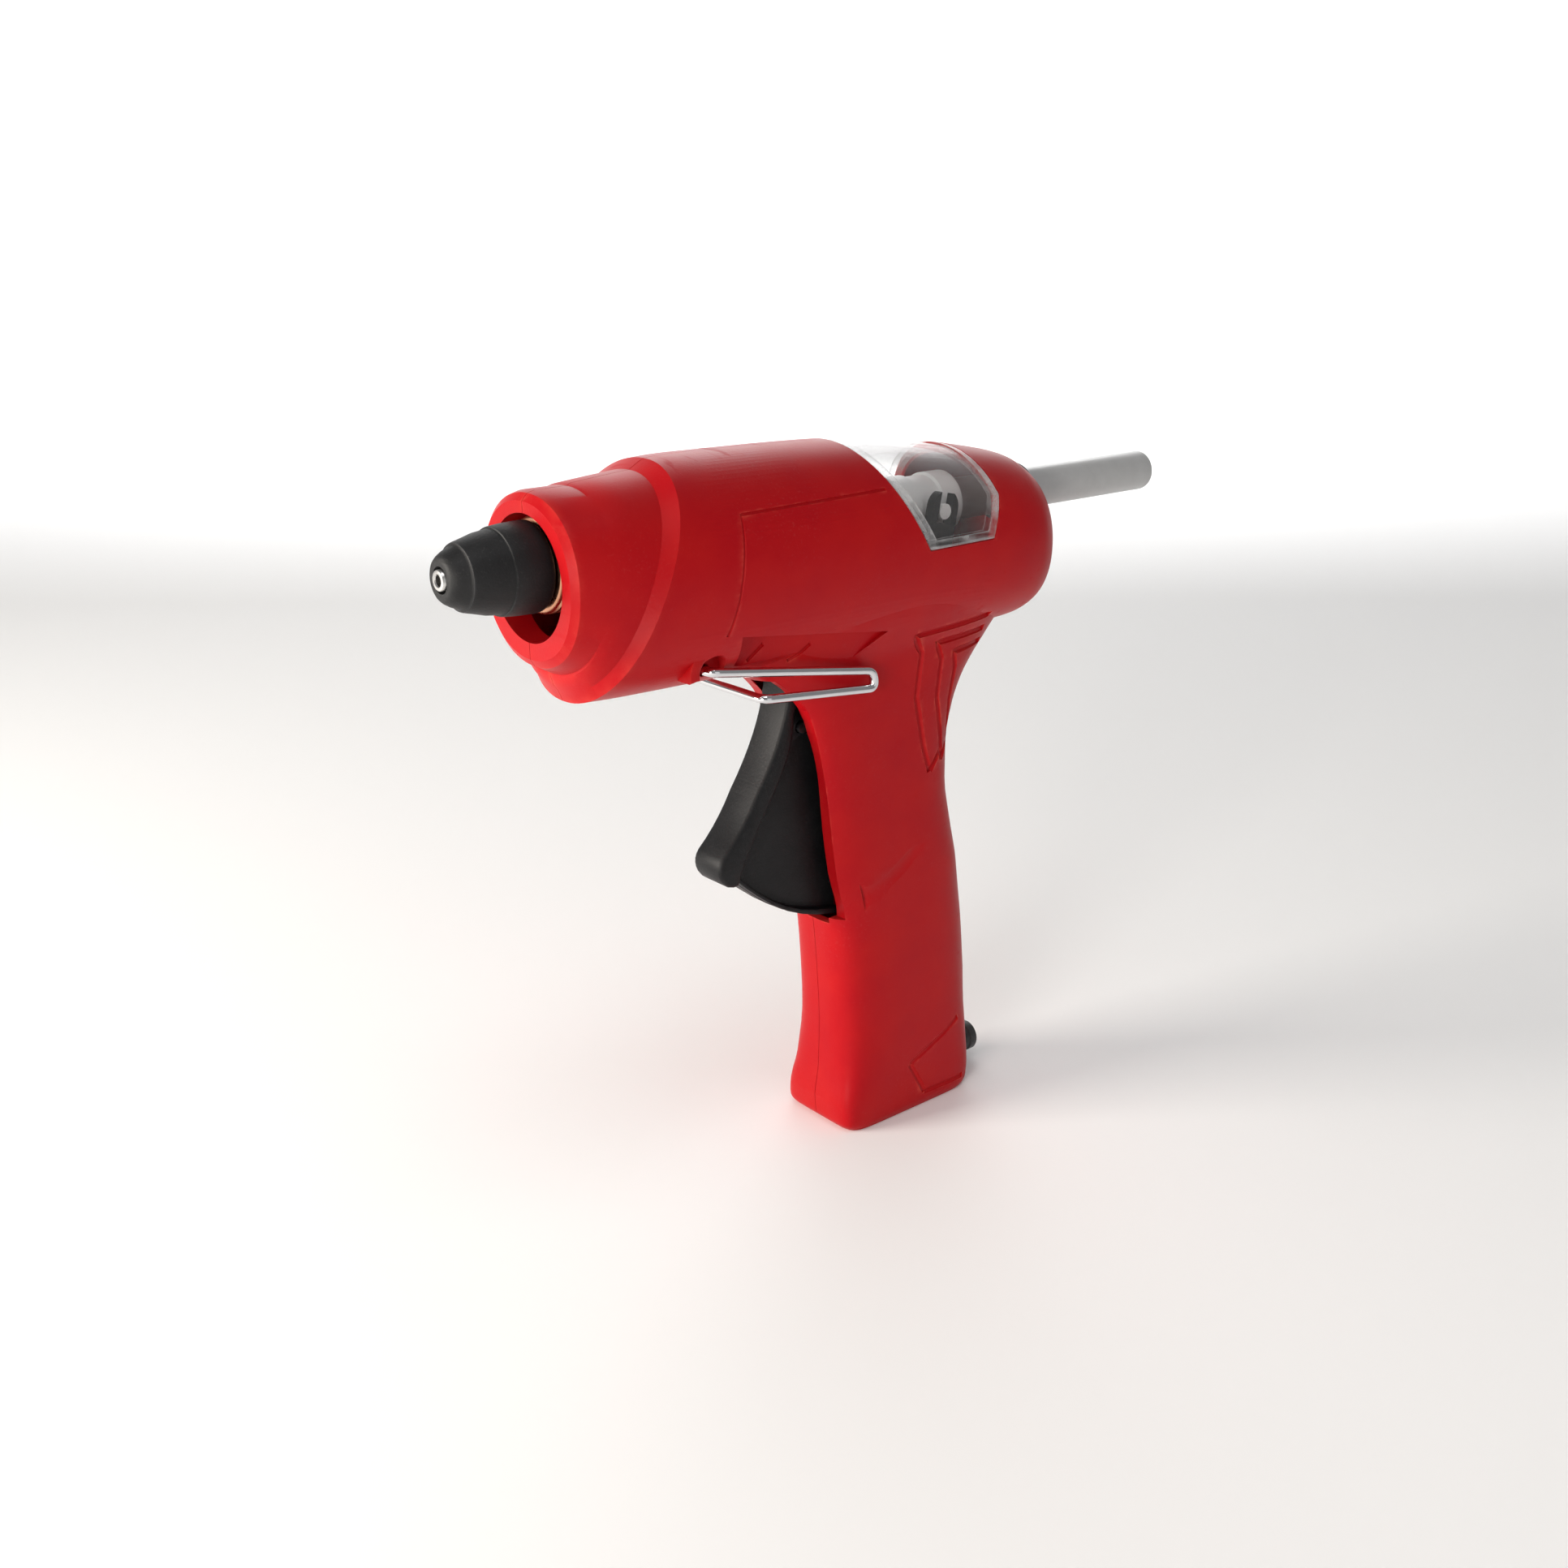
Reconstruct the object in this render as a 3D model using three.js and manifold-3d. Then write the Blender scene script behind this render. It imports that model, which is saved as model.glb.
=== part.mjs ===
// Hot glue gun: two moulded half shells around a heated barrel, with a trigger
// that pushes the glue stick forward through a link, a lever and a carriage.
// Millimetres. +X points along the barrel to the nozzle, +Y to the gun's left,
// +Z up. The origin is the middle of the flat face under the handle.

import * as THREE from 'three';
import { mergeVertices } from 'three/addons/utils/BufferGeometryUtils.js';
import Module from 'manifold-3d';

const wasm = await Module();
wasm.setup();

// ---------------------------------------------------------------- driving sizes

const fit = 0.3;                 // clearance between two pieces, on each side
const wall = 2.4;                // wall of the half shells

const handleHeight = 130;        // base to the underside of the barrel
const handleWidth = 29;          // across the handle
const barrelLength = 155;        // rear cap to the nose rim
const barrelHeight = 53.6;       // at the bevelled band
const barrelWidth = 48.6;
const barrelRear = -45;          // rear cap, from the middle of the handle

const stickDiameter = 11;
const stickLength = 148;
const stickFront = 50;           // where the stick's front end rests in the chamber
const noseBore = 28.8;           // opening in the nose
const noseRim = 39.8;            // outside of the nose ring
const nozzleReach = 21.6;        // nozzle tip ahead of the nose rim
const nozzleOrifice = 2.6;
const coverDiameter = 20.6;      // rubber cover at its rear edge

const stickPlay = 0.4;           // between the stick and each bore it slides in
const chamberWall = 2.6;
const chamberDiameter = stickDiameter + 2 * (stickPlay + chamberWall);
const heaterWidth = 10;
const heaterThickness = 2.8;
const heaterLength = 32;

const carriageLength = 22;
const carriageWall = 2.4;
const carriageX = -7;            // middle of the carriage and its side pins
const springLength = 20;
const springWire = 1.1;
const springTurns = 5;

const pinDiameter = 4;           // trigger, lever and carriage pins
const linkPinDiameter = 3;
const triggerPivotX = 36;
const leverPivotX = 0;
const pivotRise = 4;             // both pivots above the top of the handle
const crankX = -2;               // link pins from their pivots
const crankZ = -18;
const triggerWidth = 11;
const linkThickness = 3.6;
const leverPlay = 0.1;           // beyond the usual clearance, beside the walls
const leverWidth = handleWidth + 1 - 2 * (wall + fit + leverPlay);
const leverArm = 2.6;            // thickness of each fork arm
const leverLean = 12;            // degrees that the fork leans back at rest

const standWire = 2.6;
const standLength = 50.4;          // pivot to the end of the hairpins
const standSpan = handleWidth + 6;  // between the two hairpins, clear of the handle
const standBack = 37.2;          // pivot behind the nose rim
const standDrop = 27;            // pivot below the barrel axis
const hairpinDrop = 4.6;         // between the two legs of a hairpin

const screwDiameter = 2.8;
const screwHead = 5.6;
const glandDiameter = 8.8;
const glandReach = 11;
const cordBore = 5.2;

// ---------------------------------------------------------------- places

const axisZ = handleHeight + 37;                 // glue stick, chamber and nozzle
const noseX = barrelRear + barrelLength;         // front plane of the nose ring
const pivotZ = handleHeight + pivotRise;
const stickR = stickDiameter / 2;
const carriageDiameter = stickDiameter + 2 * (fit + carriageWall);
const carriageFront = carriageX + carriageLength / 2;
const bulkheadX = carriageFront + springLength + fit;
const bulkheadThickness = 2.4;
const chamberRear = bulkheadX + 5;
const chamberFront = noseX - 6;
const chamberR = chamberDiameter / 2;
const boreR = chamberR - chamberWall;
const tipX = noseX + nozzleReach;
const coverRear = noseX - 1.6;
const standX = noseX - standBack;
const standZ = axisZ - standDrop;
const glandZ = 6.4;
const noseDrop = 2.6;                            // nose opening below the axis

// ---------------------------------------------------------------- colours

const look = (color, roughness, metalness = 0, opacity = 1) =>
  new THREE.MeshStandardMaterial({ color, roughness, metalness, opacity, transparent: opacity < 1 });

const redPlastic = look(0xc0181c, 0.42);
const blackRubber = look(0x26272a, 0.62);
const blackPlastic = look(0x1f2022, 0.5);
const milkyGlue = look(0xcfcfcb, 0.45, 0, 0.95);
const milkyPlastic = look(0xc4c4c0, 0.5);
const clearPlastic = look(0xe8ecee, 0.08, 0, 0.35);
const chromeWire = look(0xd8dade, 0.15, 1);
const steel = look(0xa8abb0, 0.35, 1);
const aluminium = look(0xb9bbbf, 0.4, 1);
const copper = look(0xb87850, 0.35, 1);
const whiteCeramic = look(0xe6e2d8, 0.7);
const amberFilm = look(0xb06a18, 0.4);
const siliconeRubber = look(0xb8402c, 0.7);
const blueLead = look(0x2858a8, 0.5);
const brownLead = look(0x5c3420, 0.5);

// ---------------------------------------------------------------- solids

function solid(geometry) {
  geometry.deleteAttribute('normal');
  geometry.deleteAttribute('uv');
  const merged = mergeVertices(geometry, 1e-4);
  const vertProperties = new Float32Array(merged.attributes.position.array);
  const triVerts = new Uint32Array(merged.index.array);
  return new wasm.Manifold(new wasm.Mesh({ numProp: 3, vertProperties, triVerts }));
}

function part(name, body, material) {
  const data = body.getMesh();
  const geometry = new THREE.BufferGeometry();
  geometry.setAttribute('position', new THREE.BufferAttribute(new Float32Array(data.vertProperties), 3));
  geometry.setIndex(new THREE.BufferAttribute(new Uint32Array(data.triVerts), 1));
  geometry.computeVertexNormals();
  const mesh = new THREE.Mesh(geometry, material);
  mesh.name = name;
  return mesh;
}

const addAll = (bodies) => bodies.reduce((sum, body) => sum.add(body));
const cutAll = (body, tools) => tools.reduce((rest, tool) => rest.subtract(tool), body);

function box(x0, x1, y0, y1, z0, z1) {
  const geometry = new THREE.BoxGeometry(x1 - x0, y1 - y0, z1 - z0);
  geometry.translate((x0 + x1) / 2, (y0 + y1) / 2, (z0 + z1) / 2);
  return solid(geometry);
}

// Round bar across the gun, from y0 to y1.
function crossBar(x, z, radius, y0, y1, sides = 12) {
  const geometry = new THREE.CylinderGeometry(radius, radius, y1 - y0, sides);
  geometry.translate(x, (y0 + y1) / 2, z);
  return solid(geometry);
}

// Turned shape about the barrel axis, or a line parallel to it, from [x, radius] points.
function turned(profile, z = axisZ, sides = 24, y = 0) {
  const points = profile.map(([x, radius]) => new THREE.Vector2(radius, x));
  const geometry = new THREE.LatheGeometry(points, sides);
  geometry.rotateZ(-Math.PI / 2);
  geometry.translate(0, y, z);
  return solid(geometry);
}

const shaft = (x0, x1, radius, z = axisZ, sides = 20) =>
  turned([[x0, 0], [x0, radius], [x1, radius], [x1, 0]], z, sides);

const ring = (x0, x1, inner, outer, z = axisZ, sides = 20) =>
  turned([[x0, inner], [x0, outer], [x1, outer], [x1, inner], [x0, inner]], z, sides);

// Flat shape in the XZ plane, from y0 to y1.
function plate(shape, y0, y1, curveSegments = 6) {
  const geometry = new THREE.ExtrudeGeometry(shape, { depth: y1 - y0, bevelEnabled: false, curveSegments });
  geometry.rotateX(Math.PI / 2);
  geometry.translate(0, y1, 0);
  return solid(geometry);
}

const outline = (points) => new THREE.Shape(points.map(([x, z]) => new THREE.Vector2(x, z)));

// Bar with round ends in the XZ plane.
function roundedBar(from, to, radius, y0, y1) {
  const angle = Math.atan2(to[1] - from[1], to[0] - from[0]);
  const shape = new THREE.Shape();
  shape.absarc(from[0], from[1], radius, angle + Math.PI / 2, angle + 1.5 * Math.PI, false);
  shape.absarc(to[0], to[1], radius, angle - Math.PI / 2, angle + Math.PI / 2, false);
  shape.closePath();
  return plate(shape, y0, y1, 6);
}

// Round wire along a curve.
function wire(curve, diameter, steps, sides = 8) {
  const section = new THREE.Shape();
  section.absarc(0, 0, diameter / 2, 0, 2 * Math.PI, false);
  const geometry = new THREE.ExtrudeGeometry(section, {
    steps, extrudePath: curve, bevelEnabled: false, curveSegments: sides / 2,
  });
  return solid(geometry);
}

// Path through corner points, each corner rounded by its own bend.
function bentPath(points, bend) {
  const corners = points.map((p) => new THREE.Vector3(...p));
  const path = new THREE.CurvePath();
  let start = corners[0];
  for (let i = 1; i < corners.length - 1; i += 1) {
    const into = corners[i].clone().sub(corners[i - 1]).setLength(bend);
    const out = corners[i + 1].clone().sub(corners[i]).setLength(bend);
    const before = corners[i].clone().sub(into);
    const after = corners[i].clone().add(out);
    path.add(new THREE.LineCurve3(start, before));
    path.add(new THREE.QuadraticBezierCurve3(before, corners[i], after));
    start = after;
  }
  path.add(new THREE.LineCurve3(start, corners[corners.length - 1]));
  return path;
}

// A loft is a cylinder whose rows are pushed out to superellipse sections.
// place(section, across, up) gives the point for a unit circle's coordinates.
function loft(sections, place, sides) {
  const geometry = new THREE.CylinderGeometry(1, 1, 1, sides, sections.length - 1);
  const position = geometry.attributes.position;
  for (let i = 0; i < position.count; i += 1) {
    const row = Math.round((position.getY(i) + 0.5) * (sections.length - 1));
    const section = sections[row];
    const across = position.getX(i);
    const up = position.getZ(i);
    const radius = Math.hypot(across, up);
    const power = 2 / section.squareness;
    const a = radius < 1e-6 ? 0 : Math.sign(across) * Math.abs(across) ** power;
    const b = radius < 1e-6 ? 0 : Math.sign(up) * Math.abs(up) ** power;
    position.setXYZ(i, ...place(section, a, b));
  }
  return solid(geometry);
}

// ---------------------------------------------------------------- outer shape

const halfHeight = barrelHeight / 2;
const halfWidth = barrelWidth / 2;
const rim = noseRim / 2;

// Barrel sections: x, drop of the middle below the axis, half height, half width, lean.
// A leaning section has its top further back, as the bevelled band has.
const barrelRows = [
  [barrelRear, 12.6, 15.6, 13.5, 0],
  [barrelRear + 1.2, 12.4, 17.6, 15.8, 0],
  [barrelRear + 4, 11.8, 20.0, 18.6, 0],
  [barrelRear + 10, 10.8, 22.2, 21.0, 0],
  [barrelRear + 20, 9.8, 23.6, 22.2, 0],
  [barrelRear + 36, 8.4, 25.0, 22.9, 0],
  [barrelRear + 58, 6.8, halfHeight - 0.6, halfWidth - 0.8, 0],
  [barrelRear + 88, 6.2, halfHeight - 0.1, halfWidth - 0.2, 0],
  [noseX - 42, 6.0, halfHeight, halfWidth, 0.12],
  [noseX - 28, 5.8, halfHeight - 0.2, halfWidth, 0.36],
  [noseX - 20.2, 5.7, halfHeight - 0.6, halfWidth - 0.1, 0.465],
  [noseX - 17.2, 5.5, halfHeight - 2.3, halfWidth - 1.6, 0.45],
  [noseX - 13, 5.0, halfHeight - 3.8, halfWidth - 2.6, 0.32],
  [noseX - 8.8, 4.2, halfHeight - 5.6, halfWidth - 3.4, 0.18],
  [noseX - 8.3, 4.1, rim + 0.7, rim + 0.7, 0.16],
  [noseX - 2.4, 3.4, rim, rim, 0.02],
  [noseX, 3.2, rim - 2.6, rim - 2.6, 0],
].map(([x, drop, height, width, lean]) => ({ x, drop, height, width, lean, squareness: 2.15 }));

// Handle sections: height as a share of the handle, rear, front, half width, squareness
// and the flare that carries the outside, but not the hollow, into the barrel.
const grip = handleWidth / 2;
const handleRows = [
  [0, -20.0, 24.0, grip - 1.2, 5],
  [0.015, -21.4, 26.0, grip - 0.2, 5],
  [0.06, -22.6, 26.4, grip, 4.2],
  [0.12, -23.1, 25.2, grip, 3.6],
  [0.23, -23.2, 24.8, grip - 0.1, 3.3],
  [0.37, -22.0, 25.8, grip - 0.2, 3.2],
  [0.465, -20.4, 27.0, grip - 0.3, 3.2],
  [0.51, -19.4, 28.0, grip - 0.3, 3.3],
  [0.555, -18.2, 29.6, grip - 0.3, 3.5],
  [0.64, -15.6, 31.6, grip - 0.4, 3.5],
  [0.73, -13.6, 33.2, grip - 0.5, 3.5],
  [0.81, -13.6, 35.0, grip - 0.4, 3.5],
  [0.885, -15.8, 37.4, grip - 0.1, 3.4],
  [0.94, -19.6, 40.4, grip + 0.2, 3.2],
  [0.985, -25.0, 45.6, grip + 0.5, 3],
  [1.025, -31.0, 53.0, grip + 0.9, 2.8],
  [1.065, -35.0, 62.0, grip + 1.2, 2.8, 1.7],
  [1.11, -37.0, 66.0, grip + 2.4, 2.8, 3.0],
  [1.2, -37.0, 64.0, grip + 4, 2.8, 4.6],
].map(([share, rear, front, width, squareness, flare = 0]) => (
  { z: share * handleHeight, rear, front, width, squareness, flare }));

const handleRear = handleRows[2].rear;

function barrelPoint(row, across, up) {
  const z = axisZ - row.drop + up * row.height;
  return [row.x - row.lean * up * row.height, -across * row.width, z];
}

function handlePoint(row, across, up) {
  const middle = (row.front + row.rear) / 2;
  return [middle + across * (row.front - row.rear) / 2, -up * (row.width + row.flare), row.z];
}

const barrelBody = (inset, rows = barrelRows, sides = 28) => loft(
  rows.map((row) => ({ ...row, height: row.height - inset, width: row.width - inset })),
  barrelPoint, sides);

const handleBody = (inset, rows = handleRows, sides = 24) => loft(
  rows.map((row) => ({
    ...row, rear: row.rear + inset, front: row.front - inset, width: row.width - inset,
  })),
  handlePoint, sides);

// The hollow starts behind the front wall and inside the end caps.
function barrelHollow() {
  const rows = [2, 3, 5, 7, 9, 11, 12, 14].map((i) => ({ ...barrelRows[i] }));
  rows[0].x = barrelRear + wall + 1.2;
  return barrelBody(wall, rows, 20);
}

function handleHollow() {
  const rows = [1, 3, 6, 8, 10, 12, 13, 14, 15, 16, 18].map((i) => ({ ...handleRows[i], flare: 0 }));
  rows[0].z = wall;
  return handleBody(wall, rows, 20);
}

// ---------------------------------------------------------------- housing

// Side outline of the window, low edge first, in offsets from the axis.
const windowCorners = (grow) => [
  [9 + grow, axisZ - 6.5 - grow], [26 + grow * 1.2, axisZ + 24], [-14 - grow, axisZ + 24],
  [-19 - grow, axisZ + 4], [-14.5 - grow, axisZ - 6.5 - grow],
];

function windowPrism(grow) {
  return plate(outline(windowCorners(grow)), -halfWidth - 4, halfWidth + 4);
}

// Slot in the handle's front that the trigger moves through.
function triggerSlot() {
  const half = triggerWidth / 2 + 2 * fit;
  const low = pivotZ - 72.6;
  const shape = outline([
    [triggerPivotX - 22, low], [triggerPivotX + 10, low - 1], [triggerPivotX + 14, pivotZ - 6],
    [triggerPivotX + 10.6, pivotZ - 2.4], [triggerPivotX - 22, pivotZ - 2.4],
  ]);
  return plate(shape, -half, half);
}

const shellScrews = [
  [14, 13],
  [-10.5, 0.5 * handleHeight],
  [barrelRear + 13, axisZ - 20.5],
  [noseX - 48, axisZ + 13.4],
  [noseX - 16, axisZ - 22.4],
];

const screwBoss = screwDiameter / 2 + 2;

function bossBodies() {
  const reach = halfWidth;
  const screws = shellScrews.map(([x, z]) => crossBar(x, z, screwBoss, -reach, reach, 10));
  const pins = [triggerPivotX, leverPivotX].flatMap((x) => [-1, 1].map((side) => {
    const inner = leverWidth / 2 + fit;
    return crossBar(x, pivotZ, pinDiameter / 2 + 2.6, Math.min(side * inner, side * reach),
      Math.max(side * inner, side * reach));
  }));
  const sockets = [-1, 1].map((side) => crossBar(standX, standZ, 5.6,
    Math.min(side * 6, side * reach), Math.max(side * 6, side * reach)));
  return addAll([...screws, ...pins, ...sockets]);
}

// Upright ribs that carry the chamber at both ends.
function ribs() {
  const rear = box(bulkheadX, bulkheadX + bulkheadThickness, -halfWidth, halfWidth, axisZ - 13, axisZ + 30);
  const front = box(noseX - 18, noseX - 16, -halfWidth, halfWidth, axisZ - 14, axisZ + 30);
  const bores = [
    shaft(bulkheadX - 1, bulkheadX + bulkheadThickness + 1, boreR + 1.2),
    shaft(noseX - 19, noseX - 15, chamberR + fit),
  ];
  return cutAll(rear.add(front), bores);
}

// Lip above each stand pivot, open behind and below where the wire swings.
function standLips() {
  const arc = new THREE.Shape();
  arc.absarc(standX, standZ, 7, -0.15, 2.3, false);
  arc.absarc(standX, standZ, 4.7, 2.3, -0.15, true);
  arc.closePath();
  const low = 11;
  const high = standSpan / 2 + standWire / 2 - 0.2;
  return plate(arc, low, high, 6).add(plate(arc, -high, -low, 6));
}

function standHoles() {
  return [-1, 1].flatMap((side) => {
    const pocket = [side * (standSpan / 2 - standWire / 2 - 1.6), side * 30];
    const bore = [side * 7.5, side * 30];
    return [
      crossBar(standX, standZ, 4.5, Math.min(...pocket), Math.max(...pocket)),
      crossBar(standX, standZ, standWire / 2 + fit, Math.min(...bore), Math.max(...bore)),
    ];
  });
}

function shellCuts() {
  const pins = [triggerPivotX, leverPivotX].map((x) =>
    crossBar(x, pivotZ, pinDiameter / 2 + fit, -pinHalf - fit, pinHalf + fit));
  const screws = shellScrews.flatMap(([x, z]) => [
    crossBar(x, z, screwDiameter / 2 + fit, -halfWidth - 2, screwReach(x, z) + fit, 10),
    crossBar(x, z, screwHead / 2 + fit, -halfWidth - 2, -screwReach(x, z) + 2.6, 12),
  ]);
  return [
    windowPrism(0),
    triggerSlot(),
    shaft(noseX - 12, noseX + 2, noseBore / 2, axisZ - noseDrop, 30),
    shaft(barrelRear - 2, barrelRear + 8, guideOuter + fit),
    shaft(handleRear - 5, handleRear + wall + 4, glandDiameter / 2 + fit, glandZ, 20),
    shaft(handleRear + wall, handleRear + wall + 4, glandDiameter / 2 + 0.8 + fit, glandZ, 20),
    ...pins,
    ...screws,
    ...standHoles(),
  ];
}

const pinHalf = leverWidth / 2 + 2.4;

// Depth on each side of the middle that a screw at this place may use.
function screwReach(x, z) {
  return z > handleHeight ? halfWidth - 9 : grip - 3.4;
}

function housingBody() {
  const outer = barrelBody(0).add(handleBody(0));
  const hollow = barrelHollow().add(handleHollow());
  const inside = bossBodies().add(ribs()).intersect(outer);
  const bosses = cutAll(inside, [mechanismSpace()]);
  return cutAll(cutAll(outer, [hollow]).add(bosses).add(standLips()), shellCuts());
}

// Room that bosses and ribs leave for the chamber, the fork and the stick.
function mechanismSpace() {
  return addAll([
    shaft(barrelRear + 6, bulkheadX - 1, carriageDiameter / 2 + 1.5),
    shaft(bulkheadX + bulkheadThickness, noseX - 18, chamberR + 1.5),
  ]);
}

// Locating tab of the left half, which crosses the seam in the middle of the base.
const baseTab = (grow) => box(-6 - grow, 6 + grow, -3 - grow, 2, -1, wall + grow);

function housingHalves() {
  const body = housingBody();
  const far = 60;
  const leftSide = box(-far * 2, far * 4, fit / 2, far, -5, axisZ + far).add(baseTab(0));
  const rightSide = box(-far * 2, far * 4, -far, -fit / 2, -5, axisZ + far);
  const left = body.intersect(leftSide);
  const right = body.intersect(rightSide).subtract(baseTab(fit));
  return [part('housing_left', left, redPlastic), part('housing_right', right, redPlastic)];
}

function windowPane() {
  const skin = barrelBody(0.2).subtract(barrelBody(wall - 0.4));
  const pane = skin.intersect(windowPrism(-fit));
  const upper = pane.intersect(box(-60, 60, -40, 40, axisZ - 8, axisZ + 40));
  return part('window', upper, clearPlastic);
}

function housingScrews() {
  return shellScrews.map(([x, z], i) => {
    const reach = screwReach(x, z);
    const stem = crossBar(x, z, screwDiameter / 2, -reach + 1, reach - fit, 10);
    const head = crossBar(x, z, screwHead / 2, -reach, -reach + 2.2, 12);
    const recess = box(x - 0.5, x + 0.5, -reach - 1, -reach + 1.1, z - 1.7, z + 1.7)
      .add(box(x - 1.7, x + 1.7, -reach - 1, -reach + 1.1, z - 0.5, z + 0.5));
    return part(`housing_screw_${i + 1}`, stem.add(head).subtract(recess), steel);
  });
}

// ---------------------------------------------------------------- hot end

const stemR = 4.6;
const stemRear = chamberFront - 4.5;

function nozzle() {
  const orifice = nozzleOrifice / 2;
  return part('nozzle', turned([
    [stemRear, orifice + 0.4], [stemRear, stemR], [chamberFront + fit, stemR], [chamberFront + fit, 6],
    [coverRear + 9, 6], [tipX - 4, 2.6], [tipX, 2.3], [tipX, orifice], [stemRear, orifice + 0.4],
  ]), steel);
}

function nozzleCover() {
  const rear = coverDiameter / 2;
  return part('nozzle_cover', turned([
    [coverRear, 6 + fit], [coverRear, rear - 0.5], [coverRear + 0.6, rear], [coverRear + 9.8, rear - 0.5],
    [coverRear + 10.2, rear - 0.9], [tipX - 8, rear - 1.9], [tipX - 4.8, rear - 2.6], [tipX - 4.4, rear - 3.1],
    [tipX - 1.6, 5.6], [tipX - 0.5, 4.4], [tipX - 0.5, 2.6 + fit],
    [tipX - 4, 2.6 + fit], [coverRear + 9, 6 + fit], [coverRear, 6 + fit],
  ]), blackRubber);
}

function chamberRing() {
  return part('chamber_ring', ring(chamberFront - 1.2, coverRear - fit - 0.4, chamberR - 1.6 + fit, 11), copper);
}

const heaterRear = (chamberRear + chamberFront) / 2 - heaterLength / 2;
const blockHalf = heaterWidth / 2 + 3;
const channelTop = axisZ - boreR - 2.2;
const channelHeight = heaterThickness + 3.4;

function heatingChamber() {
  const body = turned([
    [chamberRear, 0], [chamberRear, boreR + 1.0], [chamberRear + 6, boreR + 1.0], [chamberRear + 6, chamberR],
    [chamberFront - 8, chamberR], [chamberFront - 8, chamberR - 1.6], [chamberFront, chamberR - 1.6],
    [chamberFront, 0],
  ]);
  const block = box(heaterRear - 1, heaterRear + heaterLength + 1, -blockHalf, blockHalf,
    channelTop - channelHeight - 2, axisZ - 3);
  const bore = turned([
    [chamberRear - 1, 0], [chamberRear - 1, boreR], [chamberFront - 20, boreR], [stemRear - 4, 1.6],
    [stemRear - fit, 1.6], [stemRear - fit, stemR + fit], [chamberFront + 1, stemR + fit], [chamberFront + 1, 0],
  ]);
  const channel = box(heaterRear - 3, heaterRear + heaterLength + 3, -heaterWidth / 2 - 1, heaterWidth / 2 + 1,
    channelTop - channelHeight, channelTop);
  return part('heating_chamber', cutAll(body.add(block), [bore, channel]), aluminium);
}

function heaterParts() {
  const x0 = heaterRear;
  const x1 = heaterRear + heaterLength;
  const half = heaterWidth / 2 + 1 - fit;
  const top = channelTop - fit;
  const low = top - heaterThickness - 1.2;
  const film = box(x0, x1, -half, half, low, top)
    .subtract(box(x0 - 1, x1 + 1, -half + 0.4, half - 0.4, low + 0.4, top - 0.4));
  const stone = box(x0 + 1, x1 - 1, -half + 0.7, half - 0.7, low + 0.7, top - 0.7);
  const wedge = plate(outline([
    [x0, low - fit], [x1 + 1.5, low - fit], [x1 + 1.5, channelTop - channelHeight + fit],
    [x0, channelTop - channelHeight + fit + 0.5],
  ]), -half, half);
  return [
    part('heater_film', film, amberFilm),
    part('heater_stone', stone, whiteCeramic),
    part('heater_wedge', wedge, aluminium),
  ];
}

// Silicone sleeve that guides the stick into the chamber, and its clamp.
function inletParts() {
  const inner = boreR + 1.0 + fit;
  const outer = inner + 1.3;
  const sleeve = turned([
    [bulkheadX + bulkheadThickness + fit, stickR + stickPlay - 0.05], [bulkheadX + bulkheadThickness + fit, outer],
    [chamberRear + 5.6, outer], [chamberRear + 5.6, inner], [chamberRear - fit, inner],
    [chamberRear - fit, stickR + stickPlay - 0.05], [bulkheadX + bulkheadThickness + fit, stickR + stickPlay - 0.05],
  ]);
  const clamp = ring(chamberRear + 1.6, chamberRear + 3.6, outer + fit, outer + fit + 0.9);
  return [part('inlet_sleeve', sleeve, siliconeRubber), part('sleeve_clamp', clamp, steel)];
}

// ---------------------------------------------------------------- glue feed

const guideOuter = stickR + 1.9;

function stickGuide() {
  const bore = stickR + stickPlay;
  return part('stick_guide', turned([
    [barrelRear - 0.8, bore + 0.6], [barrelRear - 0.8, guideOuter - 0.3], [barrelRear - 0.3, guideOuter],
    [barrelRear + 7, guideOuter], [barrelRear + 7, bore], [barrelRear - 0.2, bore],
    [barrelRear - 0.8, bore + 0.6],
  ]), blackPlastic);
}

function glueStick() {
  const rear = stickFront - stickLength;
  return part('glue_stick', turned([
    [rear, 0], [rear, stickR - 0.5], [rear + 0.5, stickR], [stickFront - 0.5, stickR],
    [stickFront, stickR - 0.5], [stickFront, 0],
  ]), milkyGlue);
}

const jawFront = carriageX + 7;
const jawRear = carriageX - 5;

function feedCarriage() {
  const rear = carriageX - carriageLength / 2;
  const outer = carriageDiameter / 2;
  const collar = ring(rear, carriageFront, stickR + fit, outer);
  const pins = crossBar(carriageX, axisZ, pinDiameter / 2, -leverWidth / 2, leverWidth / 2, 16);
  const bore = shaft(rear - 1, carriageFront + 1, stickR + fit);
  const slot = box(jawRear - fit, jawFront + fit, -2.4 - fit, 2.4 + fit, axisZ - outer - 2, axisZ);
  return part('feed_carriage', cutAll(collar.add(pins), [bore, slot]), milkyPlastic);
}

// Toothed jaw that bites the stick from below.
function gripJaw() {
  const top = axisZ - stickR - fit;
  const low = axisZ - carriageDiameter / 2 - 2.6;
  return part('grip_jaw', plate(outline([
    [jawRear, low], [jawFront - 2, low], [jawFront, low + 1.6], [jawFront, top], [jawFront - 1.4, top - 1],
    [jawFront - 2.8, top], [jawFront - 4.2, top - 1], [jawRear, top - 1],
  ]), -2.4, 2.4), steel);
}

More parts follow.
